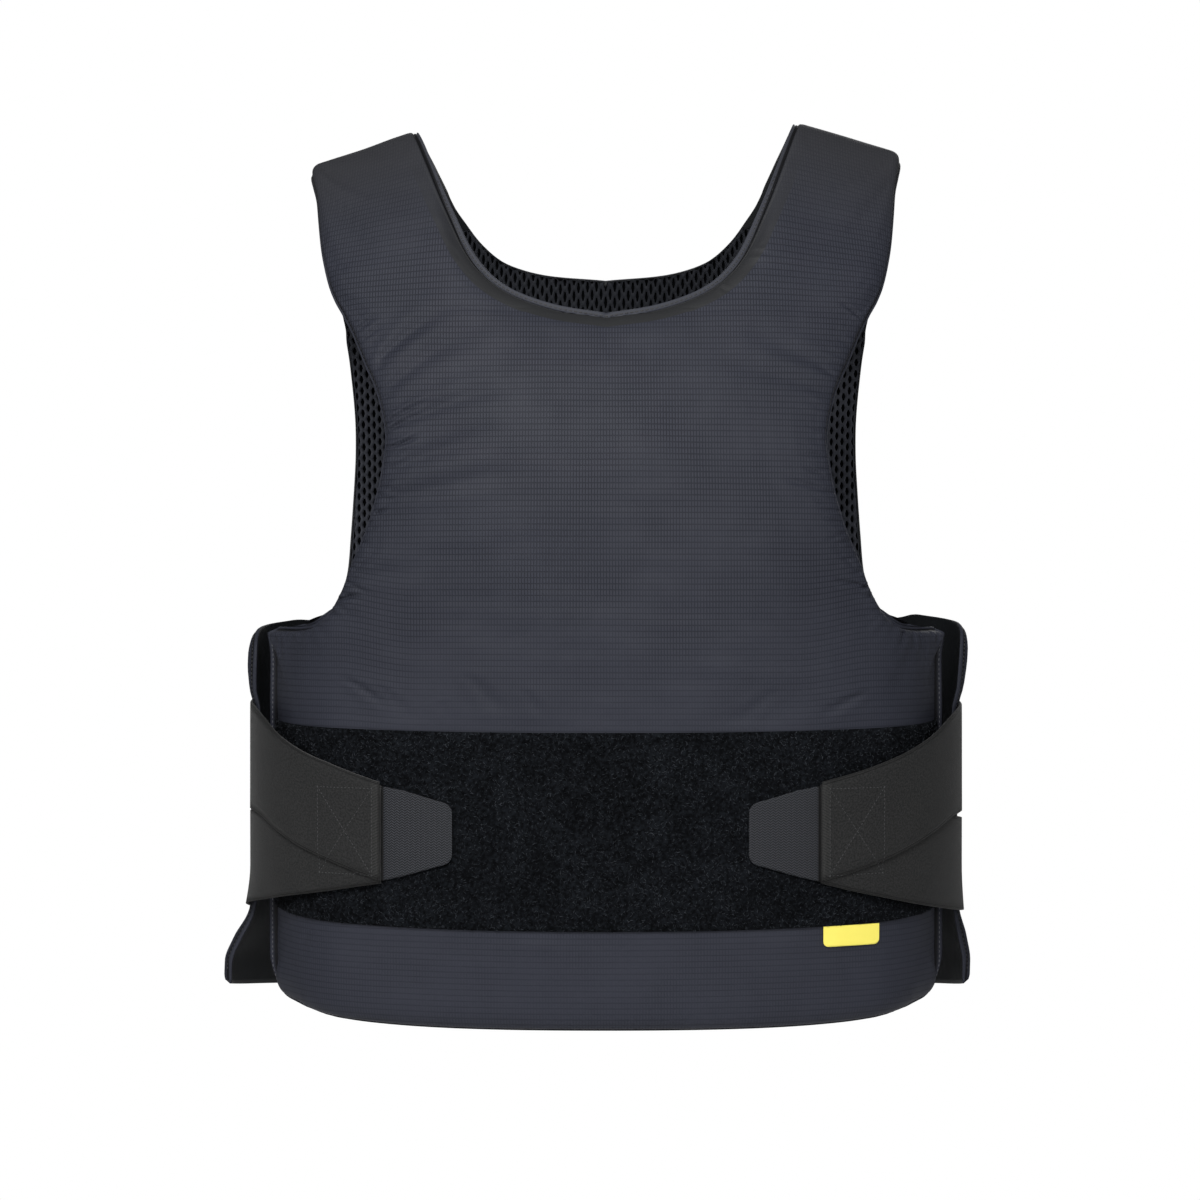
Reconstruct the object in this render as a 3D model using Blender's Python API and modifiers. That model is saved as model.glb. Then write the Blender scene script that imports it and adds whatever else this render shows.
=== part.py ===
"""Stab vest: a padded front panel whose straps run over the shoulders onto a padded back panel, with
a mesh lining, a loop field, and two elastic bands a side that close on it with hook tabs.

Metres, +Z up, the wearer faces -Y. The origin is on the mid-plane, under the shoulder line.
Every piece is a sheet bent over one body form and then thickened outwards. A place on the form has
a turn, the angle from the front centre round to the back, and a path, the way up the body and over
the shoulder. A height is a path until the form starts to roll in towards the shoulder line."""

import math
from collections import namedtuple

import bmesh
import bpy
import numpy as np

# The form is a superellipse at each height, and it rolls over the shoulders above ROLL_START.
FormRow = namedtuple("FormRow", "height half_width front_depth back_depth")
FORM = (
    FormRow(-0.600, 0.234, 0.121, 0.120),
    FormRow(-0.500, 0.234, 0.127, 0.122),
    FormRow(-0.400, 0.234, 0.127, 0.124),
    FormRow(-0.330, 0.234, 0.125, 0.127),
    FormRow(-0.260, 0.240, 0.119, 0.130),
    FormRow(-0.190, 0.250, 0.106, 0.130),
    FormRow(-0.126, 0.264, 0.083, 0.112),
)
ROUNDNESS = 2.2
ROLL_START = -0.126
ROLL_LENGTH = 0.155
ROLL_DEPTHS = (1.0, 0.80, 0.45, 0.0)
ROLL_HEIGHTS = (0.0, 0.40, 1.0, 1.0)
NECK_SIDE_X = 0.128
SHOULDER_SLOPE = 0.35
RAISED_SHOULDER = 0.045

# A panel's half is lofted through these rows, from the hem up. With no outer_x, a row ends at the
# panel's side edge, or at outer_turn.
PanelRow = namedtuple("PanelRow", "inner_x inner_z outer_x outer_z outer_turn", defaults=(None,))
FRONT_ROWS = (
    PanelRow(0, -0.599, 0.205, -0.592),
    PanelRow(0, -0.593, 0.226, -0.5875),
    PanelRow(0, -0.578, None, -0.573),
    PanelRow(0, -0.553, None, -0.553),
    PanelRow(0, -0.531, None, -0.531),
    PanelRow(0, -0.499, None, -0.499),
    PanelRow(0, -0.467, None, -0.467),
    PanelRow(0, -0.435, None, -0.435),
    PanelRow(0, -0.403, None, -0.403),
    PanelRow(0, -0.386, None, -0.379),
    PanelRow(0, -0.374, None, -0.361),
    PanelRow(0, -0.362, None, -0.349),
    PanelRow(0, -0.349, 0.2285, -0.342),
    PanelRow(0, -0.334, 0.2145, -0.342),
    PanelRow(0, -0.317, 0.201, -0.341),
    PanelRow(0, -0.298, 0.187, -0.334),
    PanelRow(0, -0.277, 0.176, -0.318),
    PanelRow(0, -0.255, 0.1685, -0.293),
    PanelRow(0, -0.233, 0.159, -0.262),
    PanelRow(0, -0.211, 0.150, -0.232),
    PanelRow(0, -0.189, 0.1475, -0.205),
    PanelRow(0, -0.168, 0.153, -0.180),
    PanelRow(0, -0.147, 0.163, -0.157),
    PanelRow(0, -0.131, 0.1685, -0.144),
    PanelRow(0, -0.1236, 0.1715, -0.137),
    PanelRow(0.028, -0.1192, 0.178, -0.1245),
    PanelRow(0.055, -0.1107, 0.184, -0.114),
    PanelRow(0.074, -0.0995, 0.1885, -0.1035),
    PanelRow(0.089, -0.082, 0.1922, -0.0905),
    PanelRow(0.100, -0.060, 0.1953, -0.0762),
    PanelRow(0.110, -0.038, 0.198, -0.0577),
    PanelRow(0.119, -0.017, 0.2005, -0.0404),
)
BACK_ROWS = (
    PanelRow(0, -0.594, None, -0.583),
    PanelRow(0, -0.589, None, -0.579),
    PanelRow(0, -0.575, None, -0.5665),
    PanelRow(0, -0.553, None, -0.553),
    PanelRow(0, -0.531, None, -0.531),
    PanelRow(0, -0.499, None, -0.499),
    PanelRow(0, -0.467, None, -0.467),
    PanelRow(0, -0.435, None, -0.435),
    PanelRow(0, -0.403, None, -0.403),
    PanelRow(0, -0.395, None, -0.383),
    PanelRow(0, -0.388, None, -0.366),
    PanelRow(0, -0.381, None, -0.353, 84.8),
    PanelRow(0, -0.373, None, -0.3445, 87.5),
    PanelRow(0, -0.364, None, -0.339, 92),
    PanelRow(0, -0.353, None, -0.3365, 100),
    PanelRow(0, -0.340, 0.222, -0.3345),
    PanelRow(0, -0.324, 0.211, -0.331),
    PanelRow(0, -0.306, 0.201, -0.323),
    PanelRow(0, -0.286, 0.194, -0.309),
    PanelRow(0, -0.265, 0.1885, -0.292),
    PanelRow(0, -0.243, 0.185, -0.265),
    PanelRow(0, -0.220, 0.1835, -0.236),
    PanelRow(0, -0.197, 0.1825, -0.208),
    PanelRow(0, -0.174, 0.183, -0.182),
    PanelRow(0, -0.151, 0.185, -0.158),
    PanelRow(0, -0.128, 0.1875, -0.136),
    PanelRow(0, -0.105, 0.189, -0.122),
    PanelRow(0, -0.089, 0.1905, -0.112),
    PanelRow(0, -0.0815, 0.1915, -0.107),
    PanelRow(0.042, -0.0785, 0.1935, -0.096),
    PanelRow(0.072, -0.071, 0.1955, -0.0865),
    PanelRow(0.0895, -0.0585, 0.1975, -0.077),
)

# The straps above the panels: share of the roll, 1 at the shoulder line and over 1 behind it.
StrapRow = namedtuple("StrapRow", "share inner_x outer_x")
SHOULDER_ROWS = (
    StrapRow(1.0, 0.128, 0.204),
    StrapRow(1.15, 0.125, 0.204),
    StrapRow(1.30, 0.1185, 0.2035),
    StrapRow(1.42, 0.1115, 0.2025),
)
FRONT_STRAP_ROWS = (
    StrapRow(0.80, 0.1235, 0.2025),
    StrapRow(0.90, 0.1265, 0.2038),
) + SHOULDER_ROWS
BACK_STRAP_ROWS = (
    StrapRow(1.55, 0.100, 0.2),
    StrapRow(1.47, 0.108, 0.2015),
) + SHOULDER_ROWS[::-1]
COLUMNS = (0, 0.04, 0.11, 0.22, 0.34, 0.46, 0.58, 0.70, 0.81, 0.90, 0.96, 1)
ROW_CLIMB = 4
FRONT_SIDE_TURN = 80
BACK_SIDE_TURN = 84

# Padding: full thickness inside, and a thin sewn flange round the rim.
FLANGE = 0.0035
CROWN_WIDTH = 0.022
FRONT_PADDING = 0.012
STRAP_PADDING = 0.009
STRAP_THIN_FROM = 0.1
STRAP_THIN_TO = 0.6
BACK_PADDING = 0.0091
BACK_TAB_PADDING = 0.005
WING_PADDING = 0.0072
BAND_SQUEEZE = 0.0022
SQUEEZE_ENDS = (-0.551, -0.531, -0.388, -0.362)
TAB_SHARE = 1.50
GAP = 0.0004
LINING_GAP = 0.0008
STRAP_LIFT = BACK_TAB_PADDING + 0.0005
STRAP_LIFT_FROM = 0.65
STRAP_LIFT_TO = 0.90
LINING = 0.0028
LINING_TOP_SHARE = 1.55
LINING_EDGE_COLUMNS = 1

# The back panel's wings lift off the form and flare along their free edges.
WING_LIFT = 0.0072
WING_TURN = 100
WING_START_TURN = 118
FLARE_TURN = 112
FlareRow = namedtuple("FlareRow", "height right left")
FLARE = (
    FlareRow(-0.600, 0.021, 0.008),
    FlareRow(-0.568, 0.020, 0.008),
    FlareRow(-0.551, 0.013, 0.005),
    FlareRow(-0.538, 0.004, 0.001),
    FlareRow(-0.531, 0.000, 0.000),
    FlareRow(-0.388, 0.000, 0.000),
    FlareRow(-0.362, 0.003, 0.006),
    FlareRow(-0.330, 0.003, 0.007),
)

LOOP_BOTTOM = -0.531
LOOP_TOP = -0.403
LOOP_THICKNESS = 0.002
LOOP_EDGE_COLUMNS = 1

# The bands' centre lines and the distance of their inner faces from the form.
BandRow = namedtuple("BandRow", "turn upper_z lower_z upper_rise lower_rise")
BANDS = (
    BandRow(36, -0.4700, -0.4700, 0.0191, 0.0169),
    BandRow(46, -0.4555, -0.4755, 0.0190, 0.0168),
    BandRow(55, -0.4455, -0.4825, 0.0180, 0.0158),
    BandRow(68, -0.4335, -0.4895, 0.0177, 0.0155),
    BandRow(77, -0.4290, -0.4925, 0.0172, 0.0150),
    BandRow(84, -0.4250, -0.4950, 0.0162, 0.0140),
    BandRow(91, -0.4210, -0.4980, 0.0140, 0.0148),
    BandRow(105, -0.4130, -0.5040, 0.0138, 0.0144),
    BandRow(120, -0.4065, -0.5085, 0.0140, 0.0140),
    BandRow(145, -0.4040, -0.5100, 0.0138, 0.0138),
)
BAND_WIDTH = 0.0635
BAND_THICKNESS = 0.0018
BAND_COLUMNS = 27
BAND_ROWS = 3
BAND_END_TURN = 145

TabRow = namedtuple("TabRow", "from_joint top bottom")
HOOK_TAB = (
    TabRow(-0.0150, -0.4390, -0.5000),
    TabRow(0.0000, -0.4385, -0.5005),
    TabRow(0.0150, -0.4410, -0.4967),
    TabRow(0.0290, -0.4450, -0.4925),
    TabRow(0.0410, -0.4483, -0.4887),
    TabRow(0.0445, -0.4503, -0.4870),
    TabRow(0.0470, -0.4545, -0.4840),
)
TAB_ROWS = 5
TAB_THICKNESS = 0.0015
TAB_RISE = 0.0149
JOINT_X = {"right": 0.1475, "left": 0.1400}

TAG_INNER_X = 0.1445
TAG_OUTER_X = 0.1826
TAG_TOP = -0.5325
TAG_BOTTOM = -0.5460
TAG_CORNER = 0.0034
TAG_THICKNESS = 0.0008
TAG_RISE = 0.0125

# -1 is the wearer's right, at -X, and +1 the wearer's left.
SIDES = {"right": -1, "left": 1}

Finish = namedtuple("Finish", "colour roughness")
FINISHES = {
    "ripstop": Finish((0.045, 0.048, 0.058), 0.62),
    "air_mesh": Finish((0.012, 0.013, 0.016), 0.80),
    "loop_pile": Finish((0.008, 0.009, 0.011), 0.95),
    "elastic": Finish((0.025, 0.026, 0.028), 0.75),
    "hook_tape": Finish((0.030, 0.031, 0.036), 0.60),
    "yellow_tag": Finish((0.78, 0.68, 0.10), 0.55),
}


def smooth_value(at, places, values):
    """A smooth curve through the values, with the slope at each from its two neighbours."""
    places = np.asarray(places, float)
    values = np.asarray(values, float)
    at = min(max(at, places[0]), places[-1])
    slopes = np.gradient(values, places)
    i = int(np.clip(np.searchsorted(places, at) - 1, 0, len(places) - 2))
    width = places[i + 1] - places[i]
    t = (at - places[i]) / width
    start = (1 + 2 * t) * (1 - t) ** 2 * values[i] + t * (1 - t) ** 2 * width * slopes[i]
    end = t * t * (3 - 2 * t) * values[i + 1] - t * t * (1 - t) * width * slopes[i + 1]
    return float(start + end)


def table_value(at, table, place, value):
    return smooth_value(
        at, [getattr(row, place) for row in table], [getattr(row, value) for row in table]
    )


def ease(at, start, end):
    """0 before start and 1 after end, with a smooth rise between."""
    t = min(max((at - start) / (end - start), 0.0), 1.0)
    return t * t * (3 - 2 * t)


def bezier(t, ends):
    a, b, c, d = ends
    return (1 - t) ** 3 * a + 3 * (1 - t) ** 2 * t * b + 3 * (1 - t) * t * t * c + t**3 * d


def ridge_height(x):
    return SHOULDER_SLOPE * (NECK_SIDE_X - abs(x))


def form_point(turn, path):
    """The form's surface at an angle in radians from the front centre, positive to +X."""
    share = (path - ROLL_START) / ROLL_LENGTH
    if share > 1:
        turn = math.copysign(math.pi, turn) - turn
        share = 2 - share
    height = min(path, ROLL_START)
    sine, cosine = math.sin(turn), math.cos(turn)
    radius = (abs(sine) ** ROUNDNESS + abs(cosine) ** ROUNDNESS) ** (-1 / ROUNDNESS)
    depth = "front_depth" if cosine > 0 else "back_depth"
    x = table_value(height, FORM, "height", "half_width") * radius * sine
    y = -table_value(height, FORM, "height", depth) * radius * cosine
    if share <= 0:
        return np.array((x, y, path))
    rise = bezier(share, ROLL_HEIGHTS)
    top = ridge_height(x) + RAISED_SHOULDER * max(x, 0) * rise
    return np.array((x, y * bezier(share, ROLL_DEPTHS), ROLL_START + (top - ROLL_START) * rise))


def place_over_form(turn, path, offset):
    step = 1e-4
    across = form_point(turn + step, path) - form_point(turn - step, path)
    along = form_point(turn, path + step) - form_point(turn, path - step)
    outward = np.cross(across, along)
    return form_point(turn, path) + offset * outward / np.linalg.norm(outward)


def roll_path(share):
    return ROLL_START + share * ROLL_LENGTH


def find_turn(x, height, behind):
    """The turn at which the form is x from the mid-plane."""
    half_width = table_value(min(height, ROLL_START), FORM, "height", "half_width")
    part = min(x / half_width, 1)
    turn = math.atan2(part, (1 - part**ROUNDNESS) ** (1 / ROUNDNESS))
    return math.pi - turn if behind else turn


def find_path(x, height):
    """The path at which the form is at this height, found by halving on the roll."""
    if height <= ROLL_START:
        return height
    wanted = (height - ROLL_START) / (ridge_height(x) - ROLL_START)
    low, high = 0.0, 1.0
    for _ in range(40):
        middle = (low + high) / 2
        if bezier(middle, ROLL_HEIGHTS) < wanted:
            low = middle
        else:
            high = middle
    return roll_path(low)


def panel_lattice(rows, strap_rows, side_turn, behind):
    """(turn, path) at each row and column of a panel's half."""
    lattice = []
    for row in rows:
        inner = (find_turn(row.inner_x, row.inner_z, behind), find_path(row.inner_x, row.inner_z))
        if row.outer_x is None:
            outer = (math.radians(row.outer_turn or side_turn), row.outer_z)
        else:
            turn = find_turn(row.outer_x, row.outer_z, behind)
            outer = (turn, find_path(row.outer_x, row.outer_z))
        lattice.append((inner, outer))
    for row in strap_rows:
        path = roll_path(2 - row.share if behind else row.share)
        inner = (find_turn(row.inner_x, ROLL_START, behind), path)
        outer = (find_turn(row.outer_x, ROLL_START, behind), path)
        lattice.append((inner, outer))
    across = np.array(COLUMNS)
    # A row climbs near its outer end, so that it meets a wing's level top edge at an angle.
    climb = across**ROW_CLIMB
    return np.array(
        [
            np.stack((a[0] + (b[0] - a[0]) * across, a[1] + (b[1] - a[1]) * climb), axis=1)
            for a, b in lattice
        ]
    )


def rim_distances(points, open_rows):
    """Distance of each point of a half panel to its rim. The first open_rows meet the other half."""
    rims = [points[0], points[-1], points[:, -1], points[open_rows - 1 :, 0]]
    distances = np.full(points.shape[:2], np.inf)
    for rim in rims:
        for start, end in zip(rim[:-1], rim[1:]):
            length = end - start
            share = np.clip((points - start) @ length / (length @ length), 0, 1)
            away = np.linalg.norm(points - start - share[..., None] * length, axis=2)
            distances = np.minimum(distances, away)
    return distances


def crowned(distance, full):
    """Padding swells from the flange to its full thickness as a quarter round."""
    u = min(distance / CROWN_WIDTH, 1)
    return FLANGE + max(full - FLANGE, 0) * math.sqrt(1 - (1 - u) ** 2)


def front_offset(path):
    share = (path - ROLL_START) / ROLL_LENGTH
    return STRAP_LIFT * ease(share, STRAP_LIFT_FROM, STRAP_LIFT_TO)


def front_padding(path):
    share = (path - ROLL_START) / ROLL_LENGTH
    thin = ease(share, STRAP_THIN_FROM, STRAP_THIN_TO)
    return FRONT_PADDING + (STRAP_PADDING - FRONT_PADDING) * thin


def on_back_tab(path):
    return path > roll_path(2 - TAB_SHARE)


def wing_lift(turn, path, side):
    """How far a wing stands off the form, its flare included."""
    degrees = math.degrees(turn)
    lift = WING_LIFT * (1 - ease(degrees, WING_TURN, WING_START_TURN))
    flare = table_value(path, FLARE, "height", side) * (
        1 - ease(degrees, BACK_SIDE_TURN, FLARE_TURN)
    )
    return lift, flare


def back_offset(turn, path, side):
    if on_back_tab(path):
        return 0.0
    lift, flare = wing_lift(turn, path, side)
    return max(LINING + LINING_GAP, lift) + flare


def lining_offset(turn, path, side):
    return back_offset(turn, path, side) - LINING - LINING_GAP


def back_padding(turn, path):
    if on_back_tab(path):
        return BACK_TAB_PADDING
    low, full, still_full, high = SQUEEZE_ENDS
    squeeze = BAND_SQUEEZE * (ease(path, low, full) - ease(path, still_full, high))
    behind_wing = ease(math.degrees(turn), WING_TURN, WING_START_TURN)
    wing = WING_PADDING - squeeze
    return wing + (BACK_PADDING - wing) * behind_wing


def make_material(name):
    finish = FINISHES[name]
    material = bpy.data.materials.new(name)
    material.use_nodes = True
    shader = material.node_tree.nodes["Principled BSDF"]
    shader.inputs["Base Color"].default_value = (*finish.colour, 1)
    shader.inputs["Roughness"].default_value = finish.roughness
    shader.inputs["Metallic"].default_value = 0
    return material


def add_grid(bm, points, thickness, side):
    """Bends a plain grid over the given points, and stores each point's thickness as a weight."""
    rows, columns = points.shape[:2]
    deform = bm.verts.layers.deform.verify()
    made = bmesh.ops.create_grid(bm, x_segments=columns - 1, y_segments=rows - 1, size=0.5)
    for vert in made["verts"]:
        column = round((vert.co.x + 0.5) * (columns - 1))
        row = round((vert.co.y + 0.5) * (rows - 1))
        if side < 0:
            column = columns - 1 - column
        vert.co = points[row, column]
        vert[deform][0] = thickness[row, column]


def make_shell(name, material, full, halves):
    """One node: grids joined where they meet, then thickened outwards by their weights."""
    bm = bmesh.new()
    for points, thickness, side in halves:
        add_grid(bm, points, thickness / full, side)
    bmesh.ops.remove_doubles(bm, verts=bm.verts, dist=1e-5)
    bmesh.ops.triangulate(bm, faces=bm.faces, quad_method="FIXED")
    mesh = bpy.data.meshes.new(name)
    bm.to_mesh(mesh)
    bm.free()
    shell = bpy.data.objects.new(name, mesh)
    shell.vertex_groups.new(name="padding")
    vest.objects.link(shell)
    solidify = shell.modifiers.new("padding", "SOLIDIFY")
    solidify.thickness = full
    solidify.offset = 1
    solidify.vertex_group = "padding"
    mesh.materials.append(make_material(material))
    mesh.shade_smooth()
    mesh.set_sharp_from_angle(angle=math.radians(40))
    return shell


def make_front_panel(lattice):
    halves = []
    for sign in SIDES.values():
        points = np.array(
            [[place_over_form(sign * t, p, front_offset(p)) for t, p in row] for row in lattice]
        )
        far = rim_distances(points, centre_rows(FRONT_ROWS))
        thickness = np.array(
            [
                [crowned(d, front_padding(p)) for d, (_, p) in zip(*both)]
                for both in zip(far, lattice)
            ]
        )
        halves.append((points, thickness, sign))
    make_shell("front_panel", "ripstop", FRONT_PADDING, halves)
    return halves


def centre_rows(rows):
    return sum(row.inner_x == 0 for row in rows)


def make_back_panel(lattice):
    halves = []
    for side, sign in SIDES.items():
        points = np.array(
            [
                [place_over_form(sign * t, p, back_offset(t, p, side)) for t, p in row]
                for row in lattice
            ]
        )
        far = rim_distances(points, centre_rows(BACK_ROWS))
        thickness = np.array(
            [
                [crowned(d, back_padding(t, p)) for d, (t, p) in zip(*both)]
                for both in zip(far, lattice)
            ]
        )
        halves.append((points, thickness, -sign))
    make_shell("back_panel", "ripstop", BACK_PADDING, halves)


def make_lining(lattice):
    """The back panel's inner face, a little inside its rim and below the strap tabs."""
    top = len(BACK_ROWS) + sum(row.share >= LINING_TOP_SHARE for row in BACK_STRAP_ROWS)
    inner = lattice[1:top, : len(COLUMNS) - LINING_EDGE_COLUMNS]
    halves = []
    for side, sign in SIDES.items():
        points = np.array(
            [
                [place_over_form(sign * t, p, lining_offset(t, p, side)) for t, p in row]
                for row in inner
            ]
        )
        halves.append((points, np.full(points.shape[:2], LINING), -sign))
    make_shell("back_mesh_lining", "air_mesh", LINING, halves)


def make_loop_field(lattice, front_halves):
    """It lies on the front panel, on the same rows and columns."""
    heights = lattice[:, 0, 1]
    rows = np.where((heights > LOOP_BOTTOM - GAP) & (heights < LOOP_TOP + GAP))[0]
    last = len(COLUMNS) - LOOP_EDGE_COLUMNS
    halves = []
    for _, thickness, sign in front_halves:
        points = np.array(
            [
                [
                    place_over_form(sign * turn, path, padding + GAP)
                    for (turn, path), padding in zip(lattice[row, :last], thickness[row, :last])
                ]
                for row in rows
            ]
        )
        halves.append((points, np.full(points.shape[:2], LOOP_THICKNESS), sign))
    make_shell("loop_field", "loop_pile", LOOP_THICKNESS, halves)


def joint_turn(side, from_joint):
    return find_turn(JOINT_X[side] - from_joint, LOOP_BOTTOM, False)


def make_bands(side):
    """Two elastic bands that lie on each other at the hook tab and part round the side."""
    sign = SIDES[side]
    start = math.degrees(joint_turn(side, 0))
    turns = np.linspace(start, BAND_END_TURN, BAND_COLUMNS)
    for band in ("lower", "upper"):
        columns = []
        for turn in turns:
            middle = table_value(turn, BANDS, "turn", band + "_z")
            rise = table_value(turn, BANDS, "turn", band + "_rise")
            slope = slope_of_band(turn, band)
            half = BAND_WIDTH / 2 * math.sqrt(1 + slope * slope)
            heights = np.linspace(middle - half, middle + half, BAND_ROWS)
            columns.append([place_over_form(sign * math.radians(turn), z, rise) for z in heights])
        points = np.array(columns).transpose(1, 0, 2)
        thickness = np.full(points.shape[:2], BAND_THICKNESS)
        make_shell(f"{band}_band_{side}", "elastic", BAND_THICKNESS, [(points, thickness, sign)])


def slope_of_band(turn, band):
    """Rise of the band's centre line for each metre round the form."""
    step = 1.0
    here, there = turn - step, turn + step
    climb = table_value(there, BANDS, "turn", band + "_z") - table_value(
        here, BANDS, "turn", band + "_z"
    )
    level = LOOP_BOTTOM
    run = form_point(math.radians(there), level) - form_point(math.radians(here), level)
    return climb / np.linalg.norm(run)


def make_hook_tab(side):
    """A tapered tab with rounded corners, pressed on the loop field and sewn under the bands."""
    sign = SIDES[side]
    columns = []
    for row in HOOK_TAB[::-1]:
        turn = joint_turn(side, row.from_joint)
        heights = np.linspace(row.bottom, row.top, TAB_ROWS)
        columns.append([place_over_form(sign * turn, z, TAB_RISE) for z in heights])
    points = np.array(columns).transpose(1, 0, 2)
    thickness = np.full(points.shape[:2], TAB_THICKNESS)
    make_shell(f"hook_tab_{side}", "hook_tape", TAB_THICKNESS, [(points, thickness, sign)])


def make_side_tag():
    """A small bare tag on the wearer's left, with rounded lower corners."""
    corner = [TAG_CORNER * part for part in (0, 0.3, 1)]
    insets = corner + [TAG_OUTER_X - TAG_INNER_X - inset for inset in corner[::-1]]
    columns = []
    for inset in insets:
        near_edge = TAG_CORNER - min(inset, insets[-1] - inset, TAG_CORNER)
        bottom = TAG_BOTTOM + TAG_CORNER - math.sqrt(TAG_CORNER**2 - near_edge**2)
        turn = find_turn(TAG_INNER_X + inset, TAG_TOP, False)
        columns.append([place_over_form(turn, z, TAG_RISE) for z in (bottom, TAG_TOP)])
    points = np.array(columns).transpose(1, 0, 2)
    thickness = np.full(points.shape[:2], TAG_THICKNESS)
    make_shell("side_tag", "yellow_tag", TAG_THICKNESS, [(points, thickness, 1)])


for old in list(bpy.data.objects):
    bpy.data.objects.remove(old)
vest = bpy.data.collections.new("stab_vest")
bpy.context.scene.collection.children.link(vest)

front_lattice = panel_lattice(FRONT_ROWS, FRONT_STRAP_ROWS, FRONT_SIDE_TURN, False)
back_lattice = panel_lattice(BACK_ROWS, BACK_STRAP_ROWS, BACK_SIDE_TURN, True)
front = make_front_panel(front_lattice)
make_back_panel(back_lattice)
make_lining(back_lattice)
make_loop_field(front_lattice, front)
for side_name in SIDES:
    make_bands(side_name)
    make_hook_tab(side_name)
make_side_tag()
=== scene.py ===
import math

import bmesh
import bpy
import numpy as np
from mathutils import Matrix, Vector
from mathutils.bvhtree import BVHTree
from mathutils.kdtree import KDTree


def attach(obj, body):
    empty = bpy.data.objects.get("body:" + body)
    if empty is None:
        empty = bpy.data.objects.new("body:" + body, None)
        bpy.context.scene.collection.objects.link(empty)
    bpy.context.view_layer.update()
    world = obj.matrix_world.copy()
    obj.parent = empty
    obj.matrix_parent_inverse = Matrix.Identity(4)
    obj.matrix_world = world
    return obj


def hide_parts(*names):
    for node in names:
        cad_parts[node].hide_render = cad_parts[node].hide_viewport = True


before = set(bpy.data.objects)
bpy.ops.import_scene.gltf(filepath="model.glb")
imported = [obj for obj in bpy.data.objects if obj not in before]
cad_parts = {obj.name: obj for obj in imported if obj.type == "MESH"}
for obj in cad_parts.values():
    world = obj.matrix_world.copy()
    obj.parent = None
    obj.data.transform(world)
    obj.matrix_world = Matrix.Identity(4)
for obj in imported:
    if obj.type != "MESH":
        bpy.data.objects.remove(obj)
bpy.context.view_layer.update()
scene = bpy.context.scene
mm = 0.001
sides = {"right": -1, "left": 1}

studio = {
    "cameraPlace": (-0.0042, -1.892, -0.316),
    "lens": 80.8,
    "sensor": 36,
    "ambient": 0.18,
    "floorHeight": -1.25,
    "floorRadius": 2.2,
    "keyPower": 88,
    "leftPower": 26,
    "rightPower": 27,
    "backPower": 14,
}


def makeStudio():
    camera = bpy.data.objects.new("photo_camera", bpy.data.cameras.new("photo_camera"))
    camera.data.lens = studio["lens"]
    camera.data.sensor_width = studio["sensor"]
    camera.location = studio["cameraPlace"]
    camera.rotation_euler = (math.radians(90), 0, 0)
    scene.collection.objects.link(camera)
    scene.camera = camera
    scene.view_settings.view_transform = "Standard"
    scene.view_settings.look = "None"
    lights = (
        # name, place, aimed at, width, height, power
        ("key_light", (-0.5, -2.35, 1.35), (0, 0, -0.20), 1.4, 1.4, studio["keyPower"]),
        ("left_light", (-2.6, -2.2, 0.1), (0, 0, -0.35), 1.4, 2.2, studio["leftPower"]),
        ("right_light", (1.15, -2.4, 0.4), (0.1, 0, -0.30), 1.0, 1.6, studio["rightPower"]),
        ("back_light", (0.5, 2.6, 0.8), (0, 0, -0.3), 2.2, 1.6, studio["backPower"]),
    )
    for name, place, target, width, height, power in lights:
        lamp = bpy.data.lights.new(name, "AREA")
        lamp.shape, lamp.size, lamp.size_y, lamp.energy = "RECTANGLE", width, height, power
        shown = bpy.data.objects.new(name, lamp)
        shown.location = place
        aim = Vector(target) - Vector(place)
        shown.rotation_euler = aim.to_track_quat("-Z", "Y").to_euler()
        scene.collection.objects.link(shown)
    world = bpy.data.worlds.new("white_room")
    scene.world = world
    world.use_nodes = True
    tree = world.node_tree
    tree.nodes.clear()
    seen = tree.nodes.new("ShaderNodeBackground")
    seen.inputs["Color"].default_value = (1, 1, 1, 1)
    glow = tree.nodes.new("ShaderNodeBackground")
    glow.inputs["Color"].default_value = (1, 1, 1, 1)
    glow.inputs["Strength"].default_value = studio["ambient"]
    rays = tree.nodes.new("ShaderNodeLightPath")
    mix = tree.nodes.new("ShaderNodeMixShader")
    out = tree.nodes.new("ShaderNodeOutputWorld")
    tree.links.new(rays.outputs["Is Camera Ray"], mix.inputs[0])
    tree.links.new(glow.outputs[0], mix.inputs[1])
    tree.links.new(seen.outputs[0], mix.inputs[2])
    tree.links.new(mix.outputs[0], out.inputs["Surface"])
    bm = bmesh.new()
    bmesh.ops.create_circle(bm, cap_ends=True, segments=96, radius=studio["floorRadius"])
    for vert in bm.verts:
        vert.co.z = studio["floorHeight"]
    mesh = bpy.data.meshes.new("studio_floor")
    bm.to_mesh(mesh)
    bm.free()
    floor = bpy.data.objects.new("studio_floor", mesh)
    scene.collection.objects.link(floor)
    return floor


class Wire:
    # a socket that takes part in shader maths: each operator adds its Math node
    def __init__(self, finish, socket):
        self.finish = finish
        self.socket = socket

    def math(self, operation, *values):
        sockets = dict(enumerate(values))
        return self.finish.node("ShaderNodeMath", {"operation": operation}, sockets)

    def __add__(self, other):
        return self.math("ADD", self, other)

    def __radd__(self, other):
        return self.math("ADD", other, self)

    def __sub__(self, other):
        return self.math("SUBTRACT", self, other)

    def __rsub__(self, other):
        return self.math("SUBTRACT", other, self)

    def __mul__(self, other):
        return self.math("MULTIPLY", self, other)

    def __rmul__(self, other):
        return self.math("MULTIPLY", other, self)

    def __truediv__(self, other):
        return self.math("DIVIDE", self, other)

    def __pow__(self, other):
        return self.math("POWER", self, other)


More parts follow.
